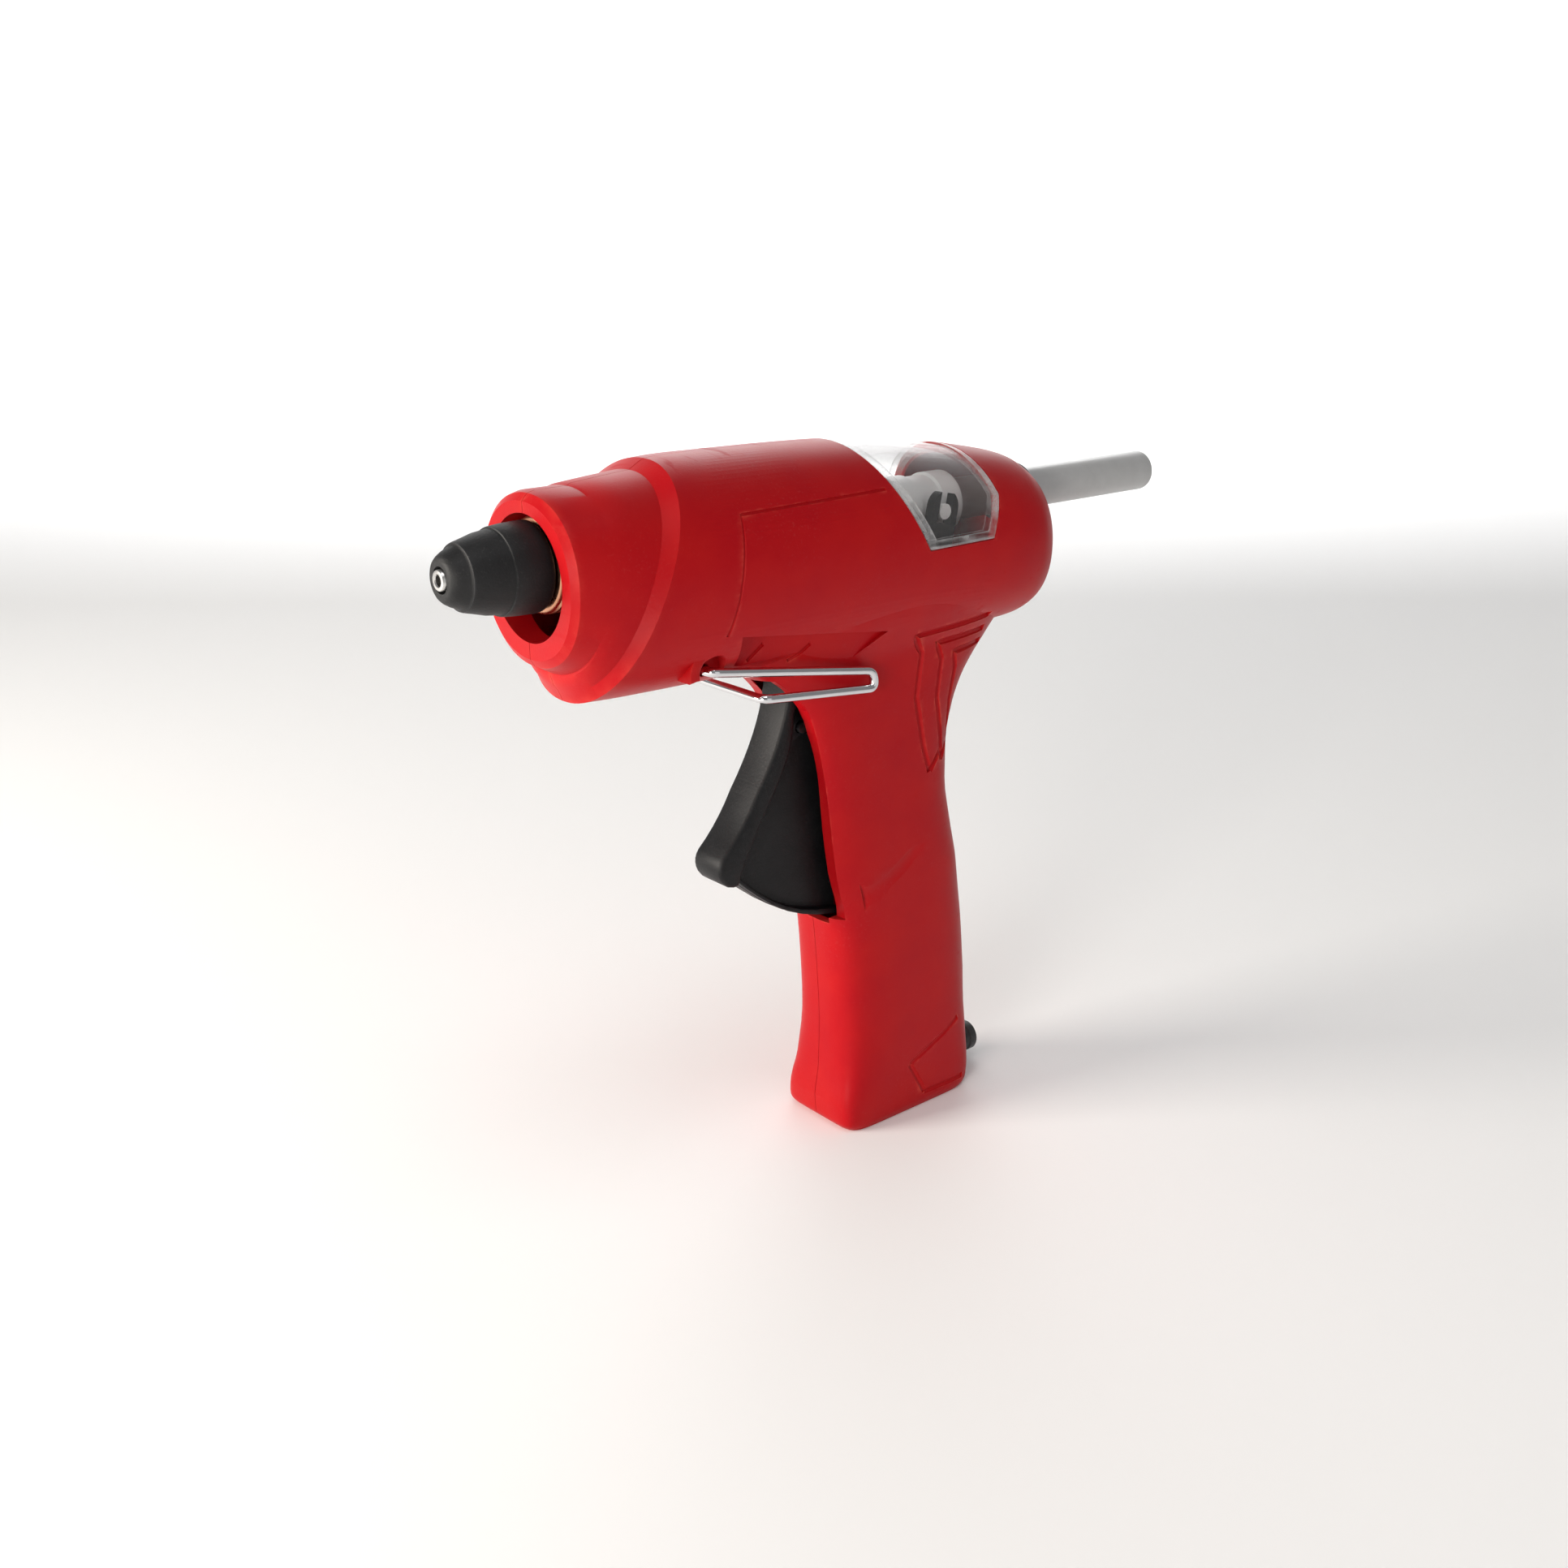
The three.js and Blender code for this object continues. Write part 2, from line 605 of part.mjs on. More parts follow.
class Helix extends THREE.Curve {
  constructor(x0, x1, radius, turns) {
    super();
    Object.assign(this, { x0, x1, radius, turns });
  }

  getPoint(t, target = new THREE.Vector3()) {
    const angle = 2 * Math.PI * this.turns * t;
    const x = this.x0 + (this.x1 - this.x0) * t;
    return target.set(x, this.radius * Math.cos(angle), axisZ + this.radius * Math.sin(angle));
  }
}

function returnSpring() {
  const gap = springWire / 2 + fit;
  const radius = stickR + 0.9 + springWire / 2;
  const helix = new Helix(carriageFront + gap, bulkheadX - gap, radius, springTurns);
  return part('return_spring', wire(helix, springWire, springTurns * 10, 5), steel);
}

function feedLever() {
  const pivot = [leverPivotX, pivotZ];
  const lean = THREE.MathUtils.degToRad(leverLean);
  const reach = (axisZ - pivotZ) / Math.cos(lean);
  const at = (length, side = 0) => [
    leverPivotX - Math.sin(lean) * length + Math.cos(lean) * side,
    pivotZ + Math.cos(lean) * length + Math.sin(lean) * side,
  ];
  const outer = leverWidth / 2;
  const inner = outer - leverArm;
  const slotHalf = pinDiameter / 2 + fit;
  const arms = [[-outer, -inner], [inner, outer]].map(([y0, y1]) => roundedBar(pivot, at(reach + 1), 4.4, y0, y1));
  const hub = crossBar(...pivot, 5, -outer, outer, 24);
  const crank = [leverPivotX + crankX, pivotZ + crankZ];
  const cheek = linkThickness / 2 + fit + 2.4;
  const foot = roundedBar(pivot, crank, 3.6, -cheek, cheek);
  const slot = plate(outline([at(reach - 3, -slotHalf), at(reach + 9, -slotHalf), at(reach + 9, slotHalf),
    at(reach - 3, slotHalf)]), -outer - 1, outer + 1);
  const linkRoom = roundedBar([crank[0], crank[1] + 5], [crank[0] + 14, crank[1] + 2], 8.4,
    -linkThickness / 2 - fit, linkThickness / 2 + fit)
    .add(roundedBar(crank, [crank[0] - 4, crank[1]], 5.6, -linkThickness / 2 - fit, linkThickness / 2 + fit));
  const body = cutAll(addAll([...arms, hub, foot]), [
    slot,
    linkRoom.subtract(crossBar(...pivot, 5, -20, 20, 24)),
    crossBar(...pivot, pinDiameter / 2 + fit / 2, -20, 20),
    crossBar(...crank, linkPinDiameter / 2 + fit / 2, -20, 20),
  ]);
  return part('feed_lever', body, blackPlastic);
}

function triggerLink() {
  const front = [triggerPivotX + crankX, pivotZ + crankZ];
  const rear = [leverPivotX + crankX, pivotZ + crankZ];
  const half = linkThickness / 2;
  const bar = roundedBar(rear, front, 3.4, -half, half);
  return part('trigger_link', cutAll(bar, [front, rear].map(([x, z]) =>
    crossBar(x, z, linkPinDiameter / 2 + fit / 2, -half - 1, half + 1))), steel);
}

function pins() {
  const cheek = linkThickness / 2 + fit + 2.4;
  const linkPin = (name, x) => part(name,
    crossBar(x + crankX, pivotZ + crankZ, linkPinDiameter / 2 - fit / 2, -cheek, cheek, 16), steel);
  const pivotPin = (name, x) => part(name,
    crossBar(x, pivotZ, pinDiameter / 2 - fit / 2, -pinHalf, pinHalf, 12), steel);
  return [
    pivotPin('trigger_pin', triggerPivotX), pivotPin('lever_pin', leverPivotX),
    linkPin('link_pin_front', triggerPivotX), linkPin('link_pin_rear', leverPivotX),
  ];
}

// ---------------------------------------------------------------- trigger

const fromPivot = (points) => points.map(([x, z]) => [triggerPivotX + x, pivotZ + z]);

// Finger pad: outer face curving out to a toe, then back along the skirt.
function padShape() {
  const shape = new THREE.Shape();
  const at = (x, z) => [triggerPivotX + x, pivotZ + z];
  shape.moveTo(...at(-4, 1));
  shape.lineTo(...at(3, 0.5));
  shape.lineTo(...at(3.6, -8));
  shape.quadraticCurveTo(...at(5, -19), ...at(14.6, -33));
  shape.quadraticCurveTo(...at(19, -41), ...at(25, -46.4));
  shape.quadraticCurveTo(...at(27.2, -49), ...at(25.4, -52.4));
  shape.quadraticCurveTo(...at(23.4, -55.6), ...at(20, -55));
  shape.quadraticCurveTo(...at(16.8, -46), ...at(8, -33));
  shape.quadraticCurveTo(...at(1, -22), ...at(1.5, -14));
  shape.closePath();
  return shape;
}

// Skirt behind the pad, whose lower edge is an arc that runs into the handle.
function skirtShape(inset) {
  return outline(fromPivot([
    [3 - inset, -6 - inset], [6 - inset, -20], [21 - inset * 1.5, -53 + inset * 0.6],
    [14, -59.6 + inset], [4, -66.4 + inset], [-6, -70.2 + inset], [-14 + inset, -71.8 + inset],
    [-12 + inset, -44], [-7 + inset, -18 - inset], [-5 + inset, -2 - inset],
  ]));
}

function skirtRim() {
  return outline(fromPivot([
    [20.6, -53.6], [14, -59.4], [4, -66.2], [-6, -70.0], [-14, -71.6], [-14, -69.4], [-6, -67.6],
    [4.6, -63.8], [14.8, -57.2], [20, -51.6],
  ]));
}

function trigger() {
  const half = triggerWidth / 2;
  const skirt = half - 0.9;
  const room = linkThickness / 2 + fit;
  const pivot = [triggerPivotX, pivotZ];
  const crank = [triggerPivotX + crankX, pivotZ + crankZ];
  const body = addAll([
    plate(padShape(), -half, half, 8),
    plate(skirtShape(0), -skirt, skirt),
    plate(skirtRim(), -half + 0.2, half - 0.2),
    crossBar(...pivot, 5.4, -half, half, 24),
  ]);
  const hollow = plate(skirtShape(2.4), -room, room);
  const linkRoom = roundedBar([crank[0] - 1, crank[1] + 1], [crank[0] - 16, crank[1] + 2], 8,
    -room, room).subtract(crossBar(...pivot, 5.4, -20, 20, 24));
  const tail = plate(outline(fromPivot([[-2, -22], [-20, -22], [-20, -69], [-8, -67.6], [0, -64]])), -room, room);
  return part('trigger', cutAll(body, [
    hollow, linkRoom, tail,
    crossBar(...pivot, pinDiameter / 2 + fit / 2, -20, 20),
    crossBar(...crank, linkPinDiameter / 2 + fit / 2, -20, 20),
  ]), blackPlastic);
}

// ---------------------------------------------------------------- stand and cord

// One bent wire: pivot stub, hairpin, bar under the barrel, hairpin, pivot stub.
function wireStand() {
  const side = standSpan / 2;
  const rear = standX - standLength;
  const slope = 0.165;
  const upper = (x) => standZ + (x - standX) * slope;
  const barX = standX - 15.4;
  const lower = (x) => upper(x) - hairpinDrop;
  const half = (s) => [
    [standX, s * 8.2, standZ],
    [standX, s * side, standZ],
    [rear, s * side, upper(rear)],
    [rear - 0.6, s * side, lower(rear - 0.6)],
    [barX, s * side, lower(barX) - 2.2],
  ];
  const path = bentPath([...half(1), ...half(-1).reverse()], 2.6);
  return part('wire_stand', wire(path, standWire, 110, 6), chromeWire);
}

function cordGland() {
  const rear = handleRear;
  const outer = glandDiameter / 2;
  const flange = outer + 0.8;
  const inside = rear + wall + 0.4;
  return part('cord_gland', turned([
    [rear - glandReach, cordBore / 2], [rear - glandReach, outer - 0.3], [rear - glandReach + 0.4, outer],
    [inside, outer], [inside, flange], [inside + 2, flange], [inside + 2, cordBore / 2],
    [rear - glandReach, cordBore / 2],
  ], glandZ, 24), blackRubber);
}

const clampX = 3;
const clampZ = 26;

function cordClamp() {
  const bar = box(clampX - 9, clampX + 9, 3, 5.4, clampZ - 3.4, clampZ + 3.4);
  const holes = [-6.4, 6.4].map((dx) => crossBar(clampX + dx, clampZ, screwDiameter / 2 + fit, 0, 20, 12));
  return part('cord_clamp', cutAll(bar, holes), blackPlastic);
}

function clampScrews() {
  return [-6.4, 6.4].map((dx, i) => {
    const x = clampX + dx;
    const stem = crossBar(x, clampZ, screwDiameter / 2, 1, 9, 12);
    const head = crossBar(x, clampZ, screwHead / 2, 1, 2.7, 16);
    return part(`clamp_screw_${i + 1}`, stem.add(head), steel);
  });
}

// Insulated lead from the clamp, past the side of the trigger, to the heater.
function lead(name, side, material) {
  const points = [
    [-9, side * 4, 20], [-8, side * 7.5, 45], [-2, side * 9, 75], [12, side * 9, 105],
    [18, side * 9, handleHeight - 6], [26, side * 9.4, handleHeight + 12],
    [heaterRear - 8, side * 7, channelTop - 4], [heaterRear - 2.4, side * 3, channelTop - 2.4],
  ].map((p) => new THREE.Vector3(...p));
  return part(name, wire(new THREE.CatmullRomCurve3(points), 1.6, 26, 6), material);
}

// ---------------------------------------------------------------- assembly

const gun = new THREE.Group();
gun.add(
  ...housingHalves(),
  windowPane(),
  ...housingScrews(),
  nozzle(), nozzleCover(), chamberRing(), heatingChamber(),
  ...heaterParts(),
  ...inletParts(),
  stickGuide(), glueStick(), feedCarriage(), gripJaw(), returnSpring(), feedLever(), triggerLink(),
  ...pins(),
  trigger(),
  wireStand(),
  cordGland(), cordClamp(), ...clampScrews(),
  lead('lead_live', 1, brownLead), lead('lead_neutral', -1, blueLead),
);

export default gun;
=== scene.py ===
"""Looks of a hot glue gun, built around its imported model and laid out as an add-on."""

import math

import bmesh
import bpy
from bpy.props import FloatProperty, FloatVectorProperty, PointerProperty
from mathutils import Matrix, Vector
from mathutils.bvhtree import BVHTree


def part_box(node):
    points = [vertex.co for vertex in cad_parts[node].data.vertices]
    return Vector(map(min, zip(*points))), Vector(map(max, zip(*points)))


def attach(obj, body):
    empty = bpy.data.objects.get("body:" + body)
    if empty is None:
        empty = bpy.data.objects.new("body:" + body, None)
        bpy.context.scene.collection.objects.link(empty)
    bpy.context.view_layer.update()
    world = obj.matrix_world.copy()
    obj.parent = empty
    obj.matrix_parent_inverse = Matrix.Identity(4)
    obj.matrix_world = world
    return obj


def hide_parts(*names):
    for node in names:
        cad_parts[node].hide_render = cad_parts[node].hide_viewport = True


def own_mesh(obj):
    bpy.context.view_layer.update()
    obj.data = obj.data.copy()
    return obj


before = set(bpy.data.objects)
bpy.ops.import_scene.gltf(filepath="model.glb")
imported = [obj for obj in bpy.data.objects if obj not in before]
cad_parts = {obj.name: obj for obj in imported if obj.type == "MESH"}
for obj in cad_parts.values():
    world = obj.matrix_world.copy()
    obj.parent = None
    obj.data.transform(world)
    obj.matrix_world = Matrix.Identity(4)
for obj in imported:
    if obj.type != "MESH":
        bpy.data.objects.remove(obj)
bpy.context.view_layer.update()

bl_info = {
    "name": "Hot glue gun",
    "version": (1, 0, 0),
    "blender": (4, 5, 0),
    "location": "3D View > Sidebar > Glue gun",
    "description": "Builds the glue gun's shells, nozzle, trigger, stand and finishes",
    "category": "Object",
}

# Modelling is in millimetres and is scaled to metres when a piece is finished.
MM = 0.001
AXIS = 167.0  # height of the glue stick, chamber and nozzle
HANDLE = 130.0  # base to the underside of the barrel
GRIP = 14.5  # half of the handle's width
REAR = -45.0  # rear cap
NOSE = 110.0  # front plane of the nose ring
HALF_H = 26.8  # half height and half width of the barrel
HALF_W = 24.3
RIM = 19.9  # radius of the nose ring
WALL = 2.4  # thickness of the shells
FIT = 0.3  # clearance between pieces
NOSE_DROP = 2.6  # from the axis down to the middle of the nozzle hole
PIVOT = (36.0, 134.0)  # (x, z) of the trigger's pin
LEVER_PIVOT = (0.0, 134.0)
PIN_HALF = 12.6  # the trigger's pin ends inside the shells
STAND = (72.8, 140.0)  # (x, z) of the stand's hinge
STAND_SIDE = 17.5  # from the middle to the stand's wire
TIP = 131.6  # front end of the nozzle
GLAND_Z = 6.4  # height of the cord's gland
SHELL_SCREWS = ((14, 13), (-10.5, 65), (-32, 146.5), (62, 180.4), (94, 144.6))
NOZZLE_HOLE = 14.4  # radii of the round openings
GUIDE_HOLE = 7.7
GLAND_HOLE = 4.7
SLOT_HALF = 6.1  # half width of the trigger slot
CARRIAGE = -7.0  # middle of the feed carriage
SPRING_WIRE = 1.1
SPRING_TURNS = 5


# ------------------------------------------------------------------ sizes and colours


def length(name, text, millimetres):
    return FloatProperty(
        name=name, description=text, default=millimetres * MM, min=0.0, unit="LENGTH", subtype="DISTANCE"
    )


def colour(name, text, value):
    return FloatVectorProperty(
        name=name, description=text, default=value, size=3, min=0.0, max=1.0, subtype="COLOR"
    )


class GlueGunSizes(bpy.types.PropertyGroup):
    """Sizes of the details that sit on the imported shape."""

    seam: length("Seam", "Gap between the two half shells", 0.16)
    groove: length("Groove", "Half width of the panel lines on the shells", 0.42)
    contour: length("Contour", "Half width of the contour lines on the grip", 1.1)
    lip: length("Slot shelf", "Depth of the shelf beside the trigger", 3.2)
    pane_border: length("Window border", "Width of the thick border of the window", 2.0)
    pad_round: length("Pad edge", "Rounding of the trigger's finger pad", 1.1)
    wire: length("Stand wire", "Diameter of the wire of the stand", 2.3)
    stick: length("Glue stick", "Diameter of the glue stick", 11.0)


class GlueGunColours(bpy.types.PropertyGroup):
    """Colours of the finishes."""

    shell: colour("Shell", "Red of the half shells", (0.40, 0.0025, 0.007))
    shell_light: colour("Shell, light", "Red where the moulding is paler", (0.44, 0.0050, 0.007))
    rubber: colour("Rubber", "Black of the nozzle cover", (0.0045, 0.0045, 0.005))
    black: colour("Black plastic", "Black of the trigger", (0.004, 0.004, 0.005))
    stick: colour("Glue", "Milky grey of the glue stick", (0.42, 0.42, 0.42))
    chrome: colour("Chrome", "Wire of the stand", (0.80, 0.80, 0.82))
    floor: colour("Floor", "Pale floor and backdrop", (0.94, 0.94, 0.94))


def sizes():
    return bpy.context.scene.glue_gun_sizes


def colours():
    return bpy.context.scene.glue_gun_colours


# ------------------------------------------------------------------ shader groups


class Graph:
    """A node tree with short calls for adding and linking."""

    def __init__(self, tree):
        self.tree = tree

    def add(self, kind, settings=None, **inputs):
        node = self.tree.nodes.new(kind)
        for key, value in (settings or {}).items():
            setattr(node, key, value)
        for key, value in inputs.items():
            self.feed(node.inputs[key.replace("_", " ")], value)
        return node

    def feed(self, socket, value):
        if isinstance(value, bpy.types.NodeSocket):
            self.tree.links.new(value, socket)
        else:
            socket.default_value = value

    def math(self, operation, a, b=0.0, clamp=False):
        node = self.tree.nodes.new("ShaderNodeMath")
        node.operation = operation
        node.use_clamp = clamp
        self.feed(node.inputs[0], a)
        self.feed(node.inputs[1], b)
        return node.outputs[0]

    def spread(self, value, low, high, to_low=0.0, to_high=1.0):
        node = self.add("ShaderNodeMapRange", Value=value)
        for index, number in enumerate((low, high, to_low, to_high), start=1):
            node.inputs[index].default_value = number
        return node.outputs[0]

    def mix(self, factor, a, b, blend="MIX"):
        node = self.tree.nodes.new("ShaderNodeMix")
        node.data_type = "RGBA"
        node.blend_type = blend
        self.feed(node.inputs["Factor"], factor)
        for socket, value in zip((node.inputs[6], node.inputs[7]), (a, b)):
            self.feed(socket, value if isinstance(value, bpy.types.NodeSocket) else (*value, 1.0))
        return node.outputs[2]

    def noise(self, vector, scale, detail=3.0, roughness=0.5):
        node = self.add("ShaderNodeTexNoise", Vector=vector, Scale=scale, Detail=detail, Roughness=roughness)
        return node.outputs[0]


def new_group(name, inputs, outputs):
    tree = bpy.data.node_groups.new(name, "ShaderNodeTree")
    for label, value in inputs:
        tree.interface.new_socket(label, in_out="INPUT", socket_type="NodeSocketFloat").default_value = value
    for label in outputs:
        tree.interface.new_socket(label, in_out="OUTPUT", socket_type="NodeSocketFloat")
    graph = Graph(tree)
    return graph, graph.add("NodeGroupInput").outputs, graph.add("NodeGroupOutput").inputs


def grain_group():
    """Fine skin of a moulding: a height for the bump, and a slow mottle for colour and gloss."""
    graph, given, out = new_group(
        "Moulded skin", [("Scale", 900.0), ("Waviness", 0.4), ("Mottle scale", 60.0)], ["Height", "Mottle"]
    )
    where = graph.add("ShaderNodeTexCoord").outputs["Object"]
    fine = graph.noise(where, given["Scale"], 4.0, 0.6)
    wave = graph.noise(where, graph.math("MULTIPLY", given["Scale"], 0.12), 2.0)
    graph.feed(out["Height"], graph.math("ADD", fine, graph.math("MULTIPLY", wave, given["Waviness"])))
    slow = graph.noise(where, given["Mottle scale"], 4.0, 0.62)
    graph.feed(out["Mottle"], graph.spread(slow, 0.32, 0.68))
    return graph.tree


def wear_and_highlight_group():
    """Handling wear and a painted highlight, strongest on sharp edges, broken up by noise, with a few rubbed
    patches.
    """
    graph, given, out = new_group("Edge wear and highlight", [("Amount", 0.5), ("Scale", 240.0)], ["Wear", "Rub"])
    where = graph.add("ShaderNodeTexCoord").outputs["Object"]
    edge = graph.add("ShaderNodeAttribute", {"attribute_name": "edge"}).outputs["Fac"]
    broken = graph.spread(graph.noise(where, given["Scale"], 5.0, 0.65), 0.38, 0.66)
    sharp = graph.math("POWER", edge, 2.0)
    edge_wear_and_highlight = graph.math("MULTIPLY", sharp, broken)
    graph.feed(out["Wear"], graph.math("MULTIPLY", edge_wear_and_highlight, given["Amount"], True))
    patch = graph.spread(graph.noise(where, 34.0, 3.0), 0.56, 0.78)
    graph.feed(out["Rub"], graph.math("MULTIPLY", patch, given["Amount"], True))
    return graph.tree


def scratch_group():
    """Hairline scratches and fine dust."""
    graph, given, out = new_group(
        "Scratches and dust", [("Scale", 420.0), ("Length", 0.06)], ["Scratch", "Dust"]
    )
    where = graph.add("ShaderNodeTexCoord").outputs["Object"]
    turned = graph.add("ShaderNodeMapping", Vector=where, Rotation=(0.5, 0.9, 0.4))
    stretch = graph.add("ShaderNodeCombineXYZ", X=1.0, Y=given["Length"], Z=1.0).outputs[0]
    graph.feed(turned.inputs["Scale"], stretch)
    lines = graph.noise(turned.outputs[0], given["Scale"], 2.0, 0.4)
    graph.feed(out["Scratch"], graph.spread(lines, 0.66, 0.78))
    specks = graph.noise(where, graph.math("MULTIPLY", given["Scale"], 4.0), 1.0)
    clouds = graph.spread(graph.noise(where, 48.0, 3.0), 0.42, 0.7)
    graph.feed(out["Dust"], graph.math("MULTIPLY", graph.spread(specks, 0.6, 0.72), clouds))
    return graph.tree


def drawn_group():
    """Lines left along a bar by drawing or turning."""
    graph, given, out = new_group("Drawn lines", [("Scale", 700.0), ("Stretch", 0.05)], ["Height", "Tone"])
    where = graph.add("ShaderNodeTexCoord").outputs["Object"]
    along = graph.add("ShaderNodeMapping", Vector=where)
    stretch = graph.add("ShaderNodeCombineXYZ", X=given["Stretch"], Y=1.0, Z=1.0).outputs[0]
    graph.feed(along.inputs["Scale"], stretch)
    lines = graph.noise(along.outputs[0], given["Scale"], 3.0, 0.6)
    graph.feed(out["Height"], lines)
    graph.feed(out["Tone"], graph.spread(lines, 0.3, 0.7))
    return graph.tree


# ------------------------------------------------------------------ materials


def shader(name):
    made = bpy.data.materials.new(name)
    made.use_nodes = True
    graph = Graph(made.node_tree)
    return made, graph, made.node_tree.nodes["Principled BSDF"]


def group_node(graph, name, **values):
    node = graph.add("ShaderNodeGroup", {"node_tree": bpy.data.node_groups[name]})
    for key, value in values.items():
        node.inputs[key.replace("_", " ")].default_value = value
    return node.outputs


def set_plain(bsdf, **values):
    for key, value in values.items():
        bsdf.inputs[key.replace("_", " ")].default_value = value


def plastic(name, dark, light, rough, grain, bump, wear=0.5, edge_wear_and_highlight=None, dust=0.25, **plain):
    """Moulded plastic or rubber: two close colours, a skin, edges tinted for wear and as a painted highlight,
    scratches and dust.
    """
    made, graph, bsdf = shader(name)
    skin = group_node(graph, "Moulded skin", Scale=grain)
    edges = group_node(graph, "Edge wear and highlight", Amount=wear)
    marks = group_node(graph, "Scratches and dust")
    # The edge tint is lighter than the plastic: wear and a painted highlight along sharp edges.
    edge_wear_and_highlight = edge_wear_and_highlight or tuple(min(1.0, c * 1.5 + 0.05) for c in light)
    tone = graph.mix(skin["Mottle"], dark, light)
    tone = graph.mix(edges["Wear"], tone, edge_wear_and_highlight)
    tone = graph.mix(graph.math("MULTIPLY", marks["Dust"], dust), tone, (0.55, 0.52, 0.50))
    graph.feed(bsdf.inputs["Base Color"], tone)
    gloss = graph.spread(skin["Mottle"], 0.0, 1.0, rough - 0.02, rough + 0.03)
    gloss = graph.math("ADD", gloss, graph.math("MULTIPLY", edges["Rub"], -0.04))
    gloss = graph.math("ADD", gloss, graph.math("MULTIPLY", marks["Scratch"], 0.14), True)
    graph.feed(bsdf.inputs["Roughness"], gloss)
    height = graph.math("ADD", skin["Height"], graph.math("MULTIPLY", marks["Scratch"], -0.5))
    relief = graph.add("ShaderNodeBump", Strength=bump, Distance=0.0002, Height=height)
    graph.feed(bsdf.inputs["Normal"], relief.outputs[0])
    set_plain(bsdf, **plain)
    return made


def metal(name, dark, light, rough, scale=700.0, bump=0.15, **plain):
    """Turned or drawn metal with fine lines, uneven gloss and dulled edges."""
    made, graph, bsdf = shader(name)
    lines = group_node(graph, "Drawn lines", Scale=scale)
    skin = group_node(graph, "Moulded skin", Scale=scale)
    edges = group_node(graph, "Edge wear and highlight", Amount=0.4)
    marks = group_node(graph, "Scratches and dust")
    tone = graph.mix(graph.math("MULTIPLY", lines["Tone"], skin["Mottle"]), dark, light)
    tone = graph.mix(edges["Wear"], tone, tuple(c * 0.8 for c in dark))
    graph.feed(bsdf.inputs["Base Color"], tone)
    gloss = graph.spread(skin["Mottle"], 0.0, 1.0, rough * 0.75, rough * 1.3)
    gloss = graph.math("ADD", gloss, graph.math("MULTIPLY", marks["Scratch"], 0.12), True)
    graph.feed(bsdf.inputs["Roughness"], gloss)
    relief = graph.add("ShaderNodeBump", Strength=bump, Distance=0.0001, Height=lines["Height"])
    graph.feed(bsdf.inputs["Normal"], relief.outputs[0])
    set_plain(bsdf, Metallic=1.0, **plain)
    return made


def clear(name):
    """Clear moulded window: see-through flat on, less clear where it is seen edge on or is dusty, painted
    grey where it is seen edge on in place of its reflections, with a painted pale highlight along its edges.
    """
    made, graph, bsdf = shader(name)
    skin = group_node(graph, "Moulded skin", Scale=160.0)
    edges = group_node(graph, "Edge wear and highlight", Amount=1.0, Scale=90.0)
    marks = group_node(graph, "Scratches and dust", Scale=300.0)
    slant = graph.add("ShaderNodeLayerWeight", Blend=0.35).outputs["Facing"]
    # Painted reflection: the pane's colour turns grey where it is seen edge on.
    tone = graph.mix(slant, (0.90, 0.90, 0.91), (0.46, 0.46, 0.47))
    graph.feed(bsdf.inputs["Base Color"], graph.mix(marks["Dust"], tone, (0.72, 0.72, 0.72)))
    gloss = graph.spread(skin["Mottle"], 0.0, 1.0, 0.04, 0.10)
    gloss = graph.math("ADD", gloss, graph.math("MULTIPLY", marks["Scratch"], 0.22), True)
    graph.feed(bsdf.inputs["Roughness"], gloss)
    relief = graph.add("ShaderNodeBump", Strength=0.10, Distance=0.0002, Height=skin["Height"])
    graph.feed(bsdf.inputs["Normal"], relief.outputs[0])
    veil_and_painted_rim = graph.spread(slant, 0.3, 1.0, 0.04, 0.85)
    # Painted highlight: sharp edges are made more opaque, so the pale pane shows a bright rim.
    veil_and_painted_rim = graph.math("ADD", veil_and_painted_rim, graph.math("MULTIPLY", edges["Wear"], 0.5), True)
    dust = graph.math("MULTIPLY", marks["Dust"], 0.15)
    graph.feed(bsdf.inputs["Alpha"], graph.math("ADD", veil_and_painted_rim, dust, True))
    set_plain(bsdf, IOR=1.49, Coat_Weight=0.3)
    return made


def material(name):
    return bpy.data.materials[name]


